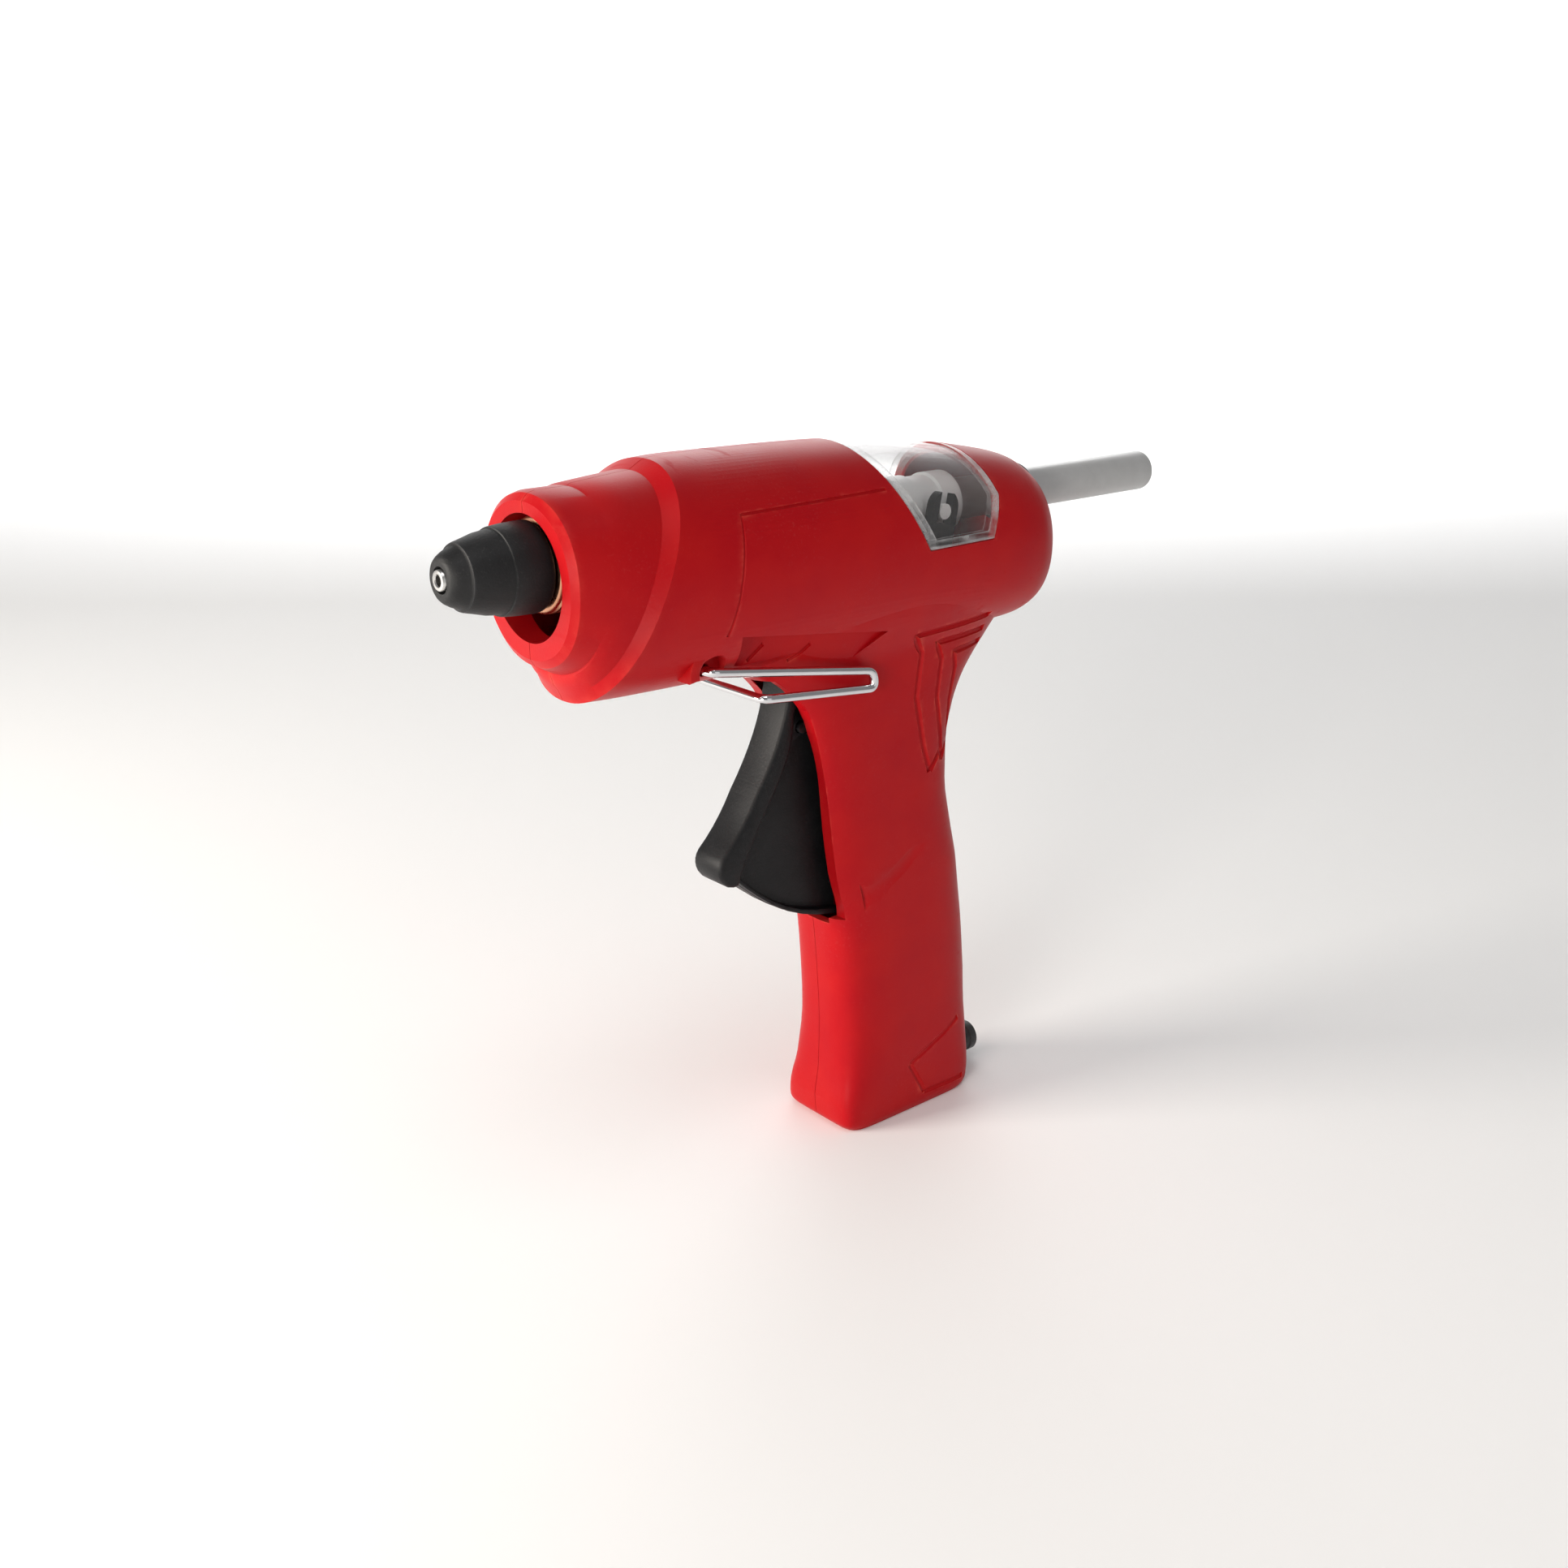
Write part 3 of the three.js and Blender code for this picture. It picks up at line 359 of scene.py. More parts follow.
def make_materials():
    for build in (grain_group, wear_and_highlight_group, scratch_group, drawn_group):
        build()
    tints = colours()
    # The red shell's edge tint is its lit salmon colour: a painted highlight along sharp edges, partly wear.
    plastic(
        "Red shell", tuple(tints.shell), tuple(tints.shell_light), 0.38, 1500.0, 0.14,
        wear=0.5, edge_wear_and_highlight=(0.70, 0.10, 0.07), dust=0.02, Specular_IOR_Level=0.13,
    )
    plastic(
        "Black rubber", tuple(tints.rubber), (0.010, 0.010, 0.011), 0.52, 1900.0, 0.35,
        wear=0.6, edge_wear_and_highlight=(0.05, 0.05, 0.054), dust=0.04, Specular_IOR_Level=0.32,
    )
    plastic(
        "Black plastic", tuple(tints.black), (0.009, 0.009, 0.010), 0.46, 1700.0, 0.30,
        wear=0.6, edge_wear_and_highlight=(0.06, 0.06, 0.064), dust=0.03, Specular_IOR_Level=0.24,
    )
    plastic("Gland rubber", (0.010, 0.010, 0.011), (0.020, 0.020, 0.021), 0.48, 1500.0, 0.25)
    plastic("Milky plastic", (0.68, 0.68, 0.67), (0.78, 0.78, 0.77), 0.40, 1100.0, 0.10)
    plastic(
        "Milky glue", tuple(tints.stick), (0.50, 0.50, 0.50), 0.34, 700.0, 0.12,
        wear=0.4, edge_wear_and_highlight=(0.70, 0.70, 0.70), dust=0.2,
        Subsurface_Weight=0.12, Subsurface_Radius=(0.004, 0.004, 0.004), Coat_Weight=0.2,
    )
    plastic("White stone", (0.66, 0.63, 0.57), (0.78, 0.76, 0.70), 0.7, 900.0, 0.4)
    plastic("Amber film", (0.36, 0.14, 0.015), (0.50, 0.22, 0.03), 0.28, 500.0, 0.08, Coat_Weight=0.3)
    plastic("Silicone", (0.36, 0.045, 0.022), (0.46, 0.07, 0.035), 0.6, 900.0, 0.2)
    plastic("Brown lead", (0.075, 0.028, 0.014), (0.12, 0.05, 0.026), 0.45, 800.0, 0.15)
    plastic("Blue lead", (0.012, 0.055, 0.26), (0.02, 0.085, 0.36), 0.45, 800.0, 0.15)
    metal("Chrome wire", tuple(c * 0.9 for c in tints.chrome), tuple(tints.chrome), 0.09, 900.0, 0.05)
    metal("Steel", (0.42, 0.42, 0.44), (0.56, 0.56, 0.58), 0.32)
    metal("Tip metal", (0.58, 0.57, 0.56), (0.78, 0.77, 0.75), 0.26, 1200.0, 0.10)
    metal("Aluminium", (0.50, 0.51, 0.53), (0.62, 0.63, 0.65), 0.42, 500.0, 0.30)
    metal("Copper", (0.55, 0.26, 0.15), (0.74, 0.42, 0.28), 0.28, 900.0, 0.15)
    clear("Clear window")


# ------------------------------------------------------------------ modelling helpers


def soften(rows, corners, share=0.35):
    """Rows in which each corner row becomes three that round it, within a share of its neighbours."""
    made = []
    for i, row in enumerate(rows):
        if i not in corners:
            made.append(row)
            continue
        before = [a + (b - a) * share for a, b in zip(row, rows[i - 1])]
        after = [a + (b - a) * share for a, b in zip(row, rows[i + 1])]
        middle = [(a + 2 * b + c) / 4 for a, b, c in zip(before, row, after)]
        made += [before, middle, after]
    return made


def between(rows, steps):
    """Rows with more in between, on a curve through every column that never overshoots."""

    def slope(i, column):
        if i in (0, len(rows) - 1):
            j = min(i, len(rows) - 2)
            return (rows[j + 1][column] - rows[j][column]) / (rows[j + 1][0] - rows[j][0])
        left = (rows[i][column] - rows[i - 1][column]) / (rows[i][0] - rows[i - 1][0])
        right = (rows[i + 1][column] - rows[i][column]) / (rows[i + 1][0] - rows[i][0])
        return 0.0 if left * right <= 0 else 2 * left * right / (left + right)

    made = []
    for i in range(len(rows) - 1):
        run = rows[i + 1][0] - rows[i][0]
        for k in range(steps):
            t = k / steps
            row = []
            for c in range(len(rows[0])):
                a, b = rows[i][c], rows[i + 1][c]
                m, n = slope(i, c) * run, slope(i + 1, c) * run
                row.append(
                    (2 * t**3 - 3 * t * t + 1) * a + (t**3 - 2 * t * t + t) * m
                    + (3 * t * t - 2 * t**3) * b + (t**3 - t * t) * n
                )
            made.append(row)
    made.append(list(rows[-1]))
    return made


def row_at(rows, where):
    """The row at that place along the first column."""
    for a, b in zip(rows, rows[1:]):
        if a[0] <= where <= b[0]:
            t = (where - a[0]) / (b[0] - a[0])
            return [p + (q - p) * t for p, q in zip(a, b)]
    return rows[0] if where < rows[0][0] else rows[-1]


def squared(value, squareness):
    return math.copysign(abs(value) ** (2 / squareness), value) if abs(value) > 1e-6 else 0.0


def facing_out(bm):
    bmesh.ops.recalc_face_normals(bm, faces=bm.faces)
    if bm.calc_volume(signed=True) < 0:
        bmesh.ops.reverse_faces(bm, faces=bm.faces)
    return bm


def loft(rows, place, sides):
    """A cylinder whose rings are pushed out to the sections that place() gives."""
    bm = bmesh.new()
    bmesh.ops.create_cone(bm, cap_ends=True, segments=sides, radius1=1, radius2=1, depth=1)
    upright = [e for e in bm.edges if abs(e.verts[0].co.z - e.verts[1].co.z) > 0.5]
    bmesh.ops.subdivide_edges(bm, edges=upright, cuts=len(rows) - 2, use_grid_fill=True)
    last = len(rows) - 1
    for v in bm.verts:
        v.co = place(rows[round((v.co.z + 0.5) * last)], v.co.x, v.co.y)
    return facing_out(bm)


def block(x0, x1, y0, y1, z0, z1):
    bm = bmesh.new()
    bmesh.ops.create_cube(bm, size=1)
    bmesh.ops.scale(bm, vec=(x1 - x0, y1 - y0, z1 - z0), verts=bm.verts)
    bmesh.ops.translate(bm, vec=((x0 + x1) / 2, (y0 + y1) / 2, (z0 + z1) / 2), verts=bm.verts)
    return bm


def plate(points, y0, y1, rounding=0.0, segments=3):
    """Flat shape in the XZ plane from y0 to y1, its outline edges rounded if asked."""
    bm = bmesh.new()
    face = bm.faces.new([bm.verts.new((x, y0, z)) for x, z in points])
    grown = bmesh.ops.extrude_face_region(bm, geom=[face])["geom"]
    far = [g for g in grown if isinstance(g, bmesh.types.BMVert)]
    bmesh.ops.translate(bm, vec=(0, y1 - y0, 0), verts=far)
    bmesh.ops.recalc_face_normals(bm, faces=bm.faces)
    if rounding:
        rim = [e for e in bm.edges if abs(e.verts[0].co.y - e.verts[1].co.y) < 1e-6]
        bmesh.ops.bevel(
            bm, geom=rim, offset=rounding, offset_type="OFFSET", segments=segments, profile=0.5,
            affect="EDGES", material=-1, clamp_overlap=True,
        )
    return bm


def bar(x, z, radius, y0, y1, sides=32):
    """Round bar across the gun."""
    bm = bmesh.new()
    bmesh.ops.create_cone(bm, cap_ends=True, segments=sides, radius1=radius, radius2=radius, depth=y1 - y0)
    bmesh.ops.rotate(bm, cent=(0, 0, 0), matrix=Matrix.Rotation(math.pi / 2, 3, "X"), verts=bm.verts)
    bmesh.ops.translate(bm, vec=(x, (y0 + y1) / 2, z), verts=bm.verts)
    return bm


def shaft(x0, x1, radius, z=AXIS, sides=48, y=0.0):
    """Round bar along the barrel."""
    bm = bmesh.new()
    bmesh.ops.create_cone(bm, cap_ends=True, segments=sides, radius1=radius, radius2=radius, depth=x1 - x0)
    bmesh.ops.rotate(bm, cent=(0, 0, 0), matrix=Matrix.Rotation(math.pi / 2, 3, "Y"), verts=bm.verts)
    bmesh.ops.translate(bm, vec=((x0 + x1) / 2, y, z), verts=bm.verts)
    return bm


def turned(profile, z=AXIS, steps=72):
    """Closed profile of (x, radius) points spun about a line along the barrel."""
    bm = bmesh.new()
    ring = [bm.verts.new((x, 0, z + radius)) for x, radius in profile]
    edges = [bm.edges.new((a, b)) for a, b in zip(ring, ring[1:])]
    if profile[0][1] > 1e-6:
        edges.append(bm.edges.new((ring[-1], ring[0])))
    bmesh.ops.spin(bm, geom=ring + edges, cent=(0, 0, z), axis=(1, 0, 0), angle=2 * math.pi, steps=steps,
                   use_merge=True, use_duplicate=False)
    bmesh.ops.remove_doubles(bm, verts=bm.verts, dist=1e-4)
    return facing_out(bm)


def rounded(points, radius, steps=5):
    """The polyline with each inner corner rounded off by a curve that starts radius away from it."""
    points = [Vector(p) for p in points]
    made = [points[0]]
    for before, here, after in zip(points, points[1:], points[2:]):
        reach = min(radius, (here - before).length * 0.48, (after - here).length * 0.48)
        a = here + (before - here).normalized() * reach
        b = here + (after - here).normalized() * reach
        for k in range(steps + 1):
            t = k / steps
            made.append(a * (1 - t) ** 2 + here * (2 * t * (1 - t)) + b * t * t)
    made.append(points[-1])
    return made


def sweep(points, radius, sides=12):
    """Round bar along a line of points, closed at both ends."""
    points = [Vector(p) for p in points]
    bm = bmesh.new()
    ring = bmesh.ops.create_circle(bm, cap_ends=False, segments=sides, radius=radius)["verts"]
    heading = (points[1] - points[0]).normalized()
    turn = Vector((0, 0, 1)).rotation_difference(heading).to_matrix()
    bmesh.ops.rotate(bm, cent=(0, 0, 0), matrix=turn, verts=ring)
    bmesh.ops.translate(bm, vec=points[0], verts=ring)
    edges = bm.edges[:]
    bmesh.ops.contextual_create(bm, geom=edges)
    for i in range(1, len(points)):
        grown = bmesh.ops.extrude_edge_only(bm, edges=edges)["geom"]
        ring = [g for g in grown if isinstance(g, bmesh.types.BMVert)]
        edges = [g for g in grown if isinstance(g, bmesh.types.BMEdge)]
        ahead = (points[min(i + 1, len(points) - 1)] - points[i - 1]).normalized()
        turn = heading.rotation_difference(ahead).to_matrix()
        bmesh.ops.translate(bm, vec=points[i] - points[i - 1], verts=ring)
        bmesh.ops.rotate(bm, cent=points[i], matrix=turn, verts=ring)
        heading = ahead
    bmesh.ops.contextual_create(bm, geom=edges)
    return facing_out(bm)


def held(bm):
    """A passing object that holds the shape while it is cut or joined."""
    mesh = bpy.data.meshes.new("passing")
    if any(len(e.link_faces) != 2 for e in bm.edges):
        raise RuntimeError("a shape to cut or join isn't closed")
    bmesh.ops.triangulate(bm, faces=[f for f in bm.faces if len(f.verts) > 4])
    bm.to_mesh(mesh)
    bm.free()
    made = bpy.data.objects.new("passing", mesh)
    bpy.context.scene.collection.objects.link(made)
    return made


def combine(body, tools, operation):
    """The body with each tool cut away from it, joined to it or kept in common."""
    base = held(body)
    passing = [held(tool) for tool in tools]
    for tool in passing:
        step = base.modifiers.new("step", "BOOLEAN")
        step.operation = operation
        step.solver = "MANIFOLD"
        step.object = tool
    graph = bpy.context.evaluated_depsgraph_get()
    made = bmesh.new()
    made.from_mesh(base.evaluated_get(graph).to_mesh())
    for item in [base, *passing]:
        mesh = item.data
        bpy.data.objects.remove(item)
        bpy.data.meshes.remove(mesh)
    if not made.faces:
        raise RuntimeError("a cut or a join left nothing")
    return made


def cut(body, *tools):
    return combine(body, tools, "DIFFERENCE")


def join(body, *tools):
    return combine(body, tools, "UNION")


def common(body, *tools):
    return combine(body, tools, "INTERSECT")


def mirrored(bm):
    """A copy on the other side of the gun."""
    made = bm.copy()
    bmesh.ops.scale(made, vec=(1, -1, 1), verts=made.verts)
    bmesh.ops.reverse_faces(made, faces=made.faces)
    return made


def flat_faces(bm, least):
    """Faces in flat patches larger than least."""
    seen, flat = set(), set()
    for start in bm.faces:
        if start in seen:
            continue
        seen.add(start)
        patch, waiting = [], [start]
        while waiting:
            face = waiting.pop()
            patch.append(face)
            for edge in face.edges:
                if edge.calc_face_angle(0.0) > math.radians(0.3):
                    continue
                for other in edge.link_faces:
                    if other not in seen:
                        seen.add(other)
                        waiting.append(other)
        if sum(face.calc_area() for face in patch) > least:
            flat.update(patch)
    return flat


def mark_edges(bm, angle, flat=None, reach=2.4):
    """Sharp edges for shading, and the edge attribute that the wear and the painted edge highlight read.

    Flat patches larger than flat get sharp edges wherever the surface bends away from them.
    The wear and the painted highlight fade where the faces are longer than reach, since they would spread
    over all of them.
    """
    layer = bm.verts.layers.float.new("edge")
    limit = math.radians(angle)
    plane = flat_faces(bm, flat) if flat else set()
    for edge in bm.edges:
        if len(edge.link_faces) != 2:
            continue
        bend = edge.calc_face_angle(0.0)
        edge.smooth = bend < limit
        if bend > math.radians(3) and any(face in plane for face in edge.link_faces):
            edge.smooth = False
        if bend > math.radians(16):
            level = min(1.0, bend / math.radians(60)) * (1.0 if edge.is_convex else 0.15)
            for v in edge.verts:
                spread = max(other.calc_length() for other in v.link_edges)
                v[layer] = max(v[layer], level * min(1.0, (reach / spread) ** 2))
    for face in bm.faces:
        face.smooth = True


def finish_piece(bm, name, finish, body, nodes, angle=32, flat=None, reach=2.4):
    """Scales the shape to metres, shades it and rides it on its body in place of its nodes."""
    if not bm.faces:
        raise RuntimeError(f"{name} has no faces")
    mark_edges(bm, angle, flat, reach)
    bmesh.ops.scale(bm, vec=(MM, MM, MM), verts=bm.verts)
    mesh = bpy.data.meshes.new(name)
    bm.to_mesh(mesh)
    bm.free()
    mesh.materials.append(material(finish))
    piece = bpy.data.objects.new(name, mesh)
    bpy.context.scene.collection.objects.link(piece)
    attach(piece, body)
    if nodes:
        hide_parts(*nodes)
    return piece


# ------------------------------------------------------------------ outer shape

# Barrel: x, drop of the middle below the axis, half height, half width, lean.
BARREL_ROWS = (
    (REAR, 12.6, 15.6, 13.5, 0),
    (REAR + 1.2, 12.4, 17.6, 15.8, 0),
    (REAR + 4, 11.8, 20.0, 18.6, 0),
    (REAR + 10, 10.8, 22.2, 21.0, 0),
    (REAR + 20, 9.8, 23.6, 22.2, 0),
    (REAR + 36, 8.4, 25.0, 22.9, 0),
    (REAR + 58, 6.8, HALF_H - 0.6, HALF_W - 0.8, 0),
    (REAR + 88, 6.2, HALF_H - 0.1, HALF_W - 0.2, 0),
    (NOSE - 42, 6.0, HALF_H, HALF_W, 0.12),
    (NOSE - 28, 5.8, HALF_H - 0.2, HALF_W, 0.36),
    (NOSE - 20.2, 5.7, HALF_H - 0.6, HALF_W - 0.1, 0.465),
)
# Bevelled band, bell, notch and nose ring.
NOSE_ROWS = (
    (NOSE - 20.2, 5.7, HALF_H - 0.6, HALF_W - 0.1, 0.465),
    (NOSE - 17.6, 5.5, HALF_H - 3.0, HALF_W - 2.5, 0.45),
    (NOSE - 13, 5.0, HALF_H - 4.1, HALF_W - 3.0, 0.32),
    (NOSE - 8.8, 4.2, HALF_H - 5.6, HALF_W - 3.6, 0.18),
    (NOSE - 8.3, 4.1, RIM + 0.7, RIM + 0.7, 0.16),
    (NOSE - 3.0, 3.4, RIM, RIM, 0.02),
    (NOSE - 1.3, 3.3, RIM - 0.6, RIM - 0.6, 0.01),
    (NOSE, 3.2, RIM - 2.3, RIM - 2.3, 0),
)
BARREL_SQUARENESS = 2.15

# Handle: height, rear, front, half width, squareness, flare into the barrel.
HANDLE_ROWS = tuple(
    (share * HANDLE, rear, front, GRIP + extra, squareness, flare)
    for share, rear, front, extra, squareness, flare in (
        (0, -20.0, 24.0, -1.2, 8, 0),
        (0.015, -21.4, 26.0, -0.2, 8, 0),
        (0.06, -22.6, 26.4, 0, 6, 0),
        (0.12, -23.1, 25.2, 0, 4.4, 0),
        (0.23, -23.2, 24.8, -0.1, 3.3, 0),
        (0.37, -22.0, 25.8, -0.2, 3.2, 0),
        (0.465, -20.4, 27.0, -0.3, 3.2, 0),
        (0.51, -19.4, 28.0, -0.3, 3.3, 0),
        (0.555, -18.2, 29.6, -0.3, 3.5, 0),
        (0.64, -15.6, 31.6, -0.4, 3.5, 0),
        (0.73, -13.6, 33.2, -0.5, 3.5, 0),
        (0.81, -13.6, 35.0, -0.4, 3.5, 0),
        (0.885, -15.8, 37.4, -0.1, 3.4, 0),
        (0.94, -19.6, 40.4, 0.2, 3.2, 0),
        (0.985, -25.0, 45.6, 0.5, 3, 0),
        (1.025, -31.0, 53.0, 0.9, 2.8, 0),
        (1.065, -35.0, 62.0, 1.2, 2.8, 1.7),
        (1.11, -37.0, 66.0, 2.4, 2.8, 3.0),
        (1.2, -37.0, 64.0, 4.0, 2.8, 4.6),
    )
)


def barrel_body(inset, steps, sides, rows=None):
    """The barrel, drawn in by inset on every side."""
    if rows is None:
        rows = between(soften(list(BARREL_ROWS), {1}), steps)[:-1]
        rows += NOSE_ROWS
    rows = [(x, drop, height - inset, width - inset, lean) for x, drop, height, width, lean in rows]

    def place(row, across, up):
        x, drop, height, width, lean = row
        a, b = squared(across, BARREL_SQUARENESS), squared(up, BARREL_SQUARENESS)
        return x - lean * b * height, -a * width, AXIS - drop + b * height

    return loft(rows, place, sides)


def handle_body(inset, steps, sides, rows=None):
    """The handle, drawn in by inset; only the outside has the flare."""
    outside = rows is None
    rows = between(soften(list(HANDLE_ROWS), {1}), steps) if outside else rows

    def place(row, across, up):
        z, rear, front, width, squareness, flare = row
        a, b = squared(across, squareness), squared(up, squareness)
        half = (front - rear) / 2 - inset
        reach = width - inset + (flare if outside else 0.0)
        return (front + rear) / 2 + a * half, -b * reach, z

    return loft(rows, place, sides)


def hollow_body():
    """Room inside the shells, with the bosses, a rib and the facet's backing left standing."""
    picked = [[*BARREL_ROWS, *NOSE_ROWS[1:]][i] for i in (2, 3, 5, 7, 9, 11, 12, 14)]
    picked[0] = (REAR + WALL + 1.2, *picked[0][1:])
    upper = barrel_body(WALL, 1, 48, picked)
    picked = [HANDLE_ROWS[i] for i in (1, 3, 6, 8, 10, 12, 13, 14, 15, 16, 18)]
    picked[0] = (WALL, *picked[0][1:])
    room = join(upper, handle_body(WALL, 1, 40, picked))
    bosses = [bar(x, z, 3.4, -30, 30, 24) for x, z in SHELL_SCREWS]
    bosses += [bar(STAND[0], STAND[1], 5.6, *reach, 32) for reach in ((-30, -6), (6, 30))]
    bosses += [block(NOSE - 18, NOSE - 16, -30, 30, AXIS - 14, AXIS + 30)]
    backing = stand_facet(1.6)
    bosses += [mirrored(backing), backing]
    return cut(room, *bosses)


class Side:
    """Finds the outer surface beside the gun, for lines that lie on it."""

    def __init__(self, bm):
        self.tree = BVHTree.FromBMesh(bm)

    def y(self, x, z):
        hit = self.tree.ray_cast(Vector((x, 80, z)), Vector((0, -1, 0)))[0]
        return hit.y if hit else 0.0

    def line(self, points, radius, sunk, spacing=1.6, fade=False):
        """A groove cutter along points (x, z), sunk into the surface, and less at its ends if it fades."""
        made = []
        for (x0, z0), (x1, z1) in zip(points, points[1:]):
            count = max(2, round(math.hypot(x1 - x0, z1 - z0) / spacing))
            for k in range(count):
                made.append((x0 + (x1 - x0) * k / count, z0 + (z1 - z0) * k / count))
        made.append(points[-1])
        path = []
        for k, (x, z) in enumerate(made):
            share = min(1.0, 4 * k / len(made), 4 * (len(made) - 1 - k) / len(made)) if fade else 1.0
            path.append((x, self.y(x, z) + radius - sunk * share, z))
        return sweep(path, radius, 24 if fade else 8)


def window_outline(grow):
    """Outline of the window from the side, larger by grow. It is open over the top."""
    return [
        (9 + grow, AXIS - 6.5 - grow), (26 + grow * 1.2, AXIS + 24), (-14 - grow, AXIS + 24),
        (-19 - grow, AXIS + 4), (-14.5 - grow, AXIS - 6.5 - grow),
    ]


def slot_outline():
    """Outline of the trigger's slot from the side."""
    x, z = PIVOT
    low = z - 72.6
    return [(x - 22, low), (x + 10, low - 1), (x + 14, z - 6), (x + 10.6, z - 2.4), (x - 22, z - 2.4)]


def slot_shelf():
    """Flat shelf along both sides of the trigger slot, set back from the handle's front."""
    rows = between(list(HANDLE_ROWS), 3)
    heights = [62.6 + (131.4 - 62.6) * k / 22 for k in range(23)]
    depth = sizes().lip / MM
    corners = {(1, 0): (2.0, 13.2), (0, 1): (-depth, 9.9), (-1, 0): (-depth, -9.9), (0, -1): (2.0, -13.2)}

    def place(row, across, up):
        z, front = row
        ahead, y = corners[(round(across), round(up))]
        return front + ahead, y, z

    return loft([(z, row_at(rows, z)[2]) for z in heights], place, 4)


def stand_lips():
    """Arched lip above each pivot of the stand."""
    arc = [(math.cos(a), math.sin(a)) for a in [(-0.15 + 2.45 * k / 14) for k in range(15)]]
    outer = [(STAND[0] + 7.6 * c, STAND[1] + 7.6 * s) for c, s in arc]
    inner = [(STAND[0] + 4.7 * c, STAND[1] + 4.7 * s) for c, s in reversed(arc)]
    lip = plate(outer + inner, 11, STAND_SIDE + 2.0, 0.5, 2)
    return [lip, mirrored(lip)]


def stand_facet(deeper=0.0):
    """Slanted flat that the folded stand lies under."""
    inner = {  # corner: (x, y, z), rear or front and low or high
        (-1, 1): (18.4, 17.0, 141.0), (1, 1): (67.0, 16.66, 147.6),
        (1, -1): (65.2, 15.41, 139.9), (-1, -1): (31.0, 15.41, 133.9),
    }
    bm = bmesh.new()
    bmesh.ops.create_cube(bm, size=2)
    for v in bm.verts:
        x, y, z = inner[(round(v.co.x), round(v.co.z))]
        v.co = (x, y - deeper, z + deeper) if v.co.y < 0 else (x, y + 12, z + 1.5)
    return facing_out(bm)


def panel_lines(side):
    """Grooves of one side: body panel, vents, grip contours, crease and heel panel."""
    fine = sizes().groove / MM
    soft = sizes().contour / MM
    lines = [
        side.line([(66, 176), (44, 176.3), (20.6, 176.6)], fine, 0.42),
        side.line([(66, 176.2), (67.6, 167), (69.4, 157.2), (71.6, 149.1)], fine, 0.42),
        side.line([(56.6, 143.9), (61.0, 140.4)], 0.6, 0.7, 1.0),
        side.line([(42.0, 141.6), (47.6, 137.9)], 0.6, 0.7, 1.0),
    ]
    contours = [
        [(-22, 138.6), (7.4, 137.6), (3.4, 132.4), (4.4, 120.6), (0.6, 106), (-2.0, 99)],
        [(-22, 134.6), (-2.0, 134.2), (-4.4, 129.3), (-3.6, 119), (-6.4, 108), (-7.4, 101)],
        [(-22, 131), (-9.2, 130.6), (-10.4, 126), (-9.6, 117), (-10.6, 106)],
        [(-2.2, 99.2), (-7.0, 104.2)],
        [(-7.2, 101.2), (-10.6, 105.4)],
    ]
    lines += [side.line(points, soft, 0.75) for points in contours]
    crease = [(25.4, 67.4), (20, 68.8), (14, 71.4), (7, 75.4), (0, 80.4)]
    lines.append(side.line(crease, 9.0, 0.34, fade=True))
    heel = [[(-15.4, 22.9), (4, 14.8)], [(4, 14.8), (-1.9, 4.4)], [(-1.9, 4.4), (-17.6, 4.0)]]
    lines += [side.line(points, soft, 0.55) for points in heel]
    return lines


def screw_reach(z):
    """How far from the middle a screw of the barrel or of the handle reaches."""
    return 15.3 if z > HANDLE else 11.1


def shell_cuts():
    """Openings of the shells, screw seats, and holes for the pins and the stand."""
    holes = [
        plate(window_outline(0), -30, 30),
        plate(slot_outline(), -SLOT_HALF, SLOT_HALF),
        slot_shelf(),
        shaft(NOSE - 12, NOSE + 2, NOZZLE_HOLE, AXIS - NOSE_DROP, 96),
        shaft(REAR - 2, REAR + 8, GUIDE_HOLE, AXIS, 64),
        shaft(-28, -16, GLAND_HOLE, GLAND_Z, 48),
    ]
    head, thread = 3.1, 1.7
    for x, z in SHELL_SCREWS:
        reach = screw_reach(z)
        holes.append(bar(x, z, head, -32, -reach + 2.6, 32))
        holes.append(bar(x, z, thread, -reach, reach + 0.3, 16))
    socket, socket_floor = 4.5, 14.6
    wire_hole, wire_depth = 1.6, 7.5
    for side in (-1, 1):
        holes.append(bar(*STAND, socket, *sorted((side * socket_floor, side * 30)), 40))
        holes.append(bar(*STAND, wire_hole, *sorted((side * wire_depth, side * 30)), 24))
    pin_hole = 2.3
    for (x, z), half in ((PIVOT, PIN_HALF + FIT), (LEVER_PIVOT, 14.9)):
        holes.append(bar(x, z, pin_hole, -half, half, 24))
    return holes


# ------------------------------------------------------------------ operators


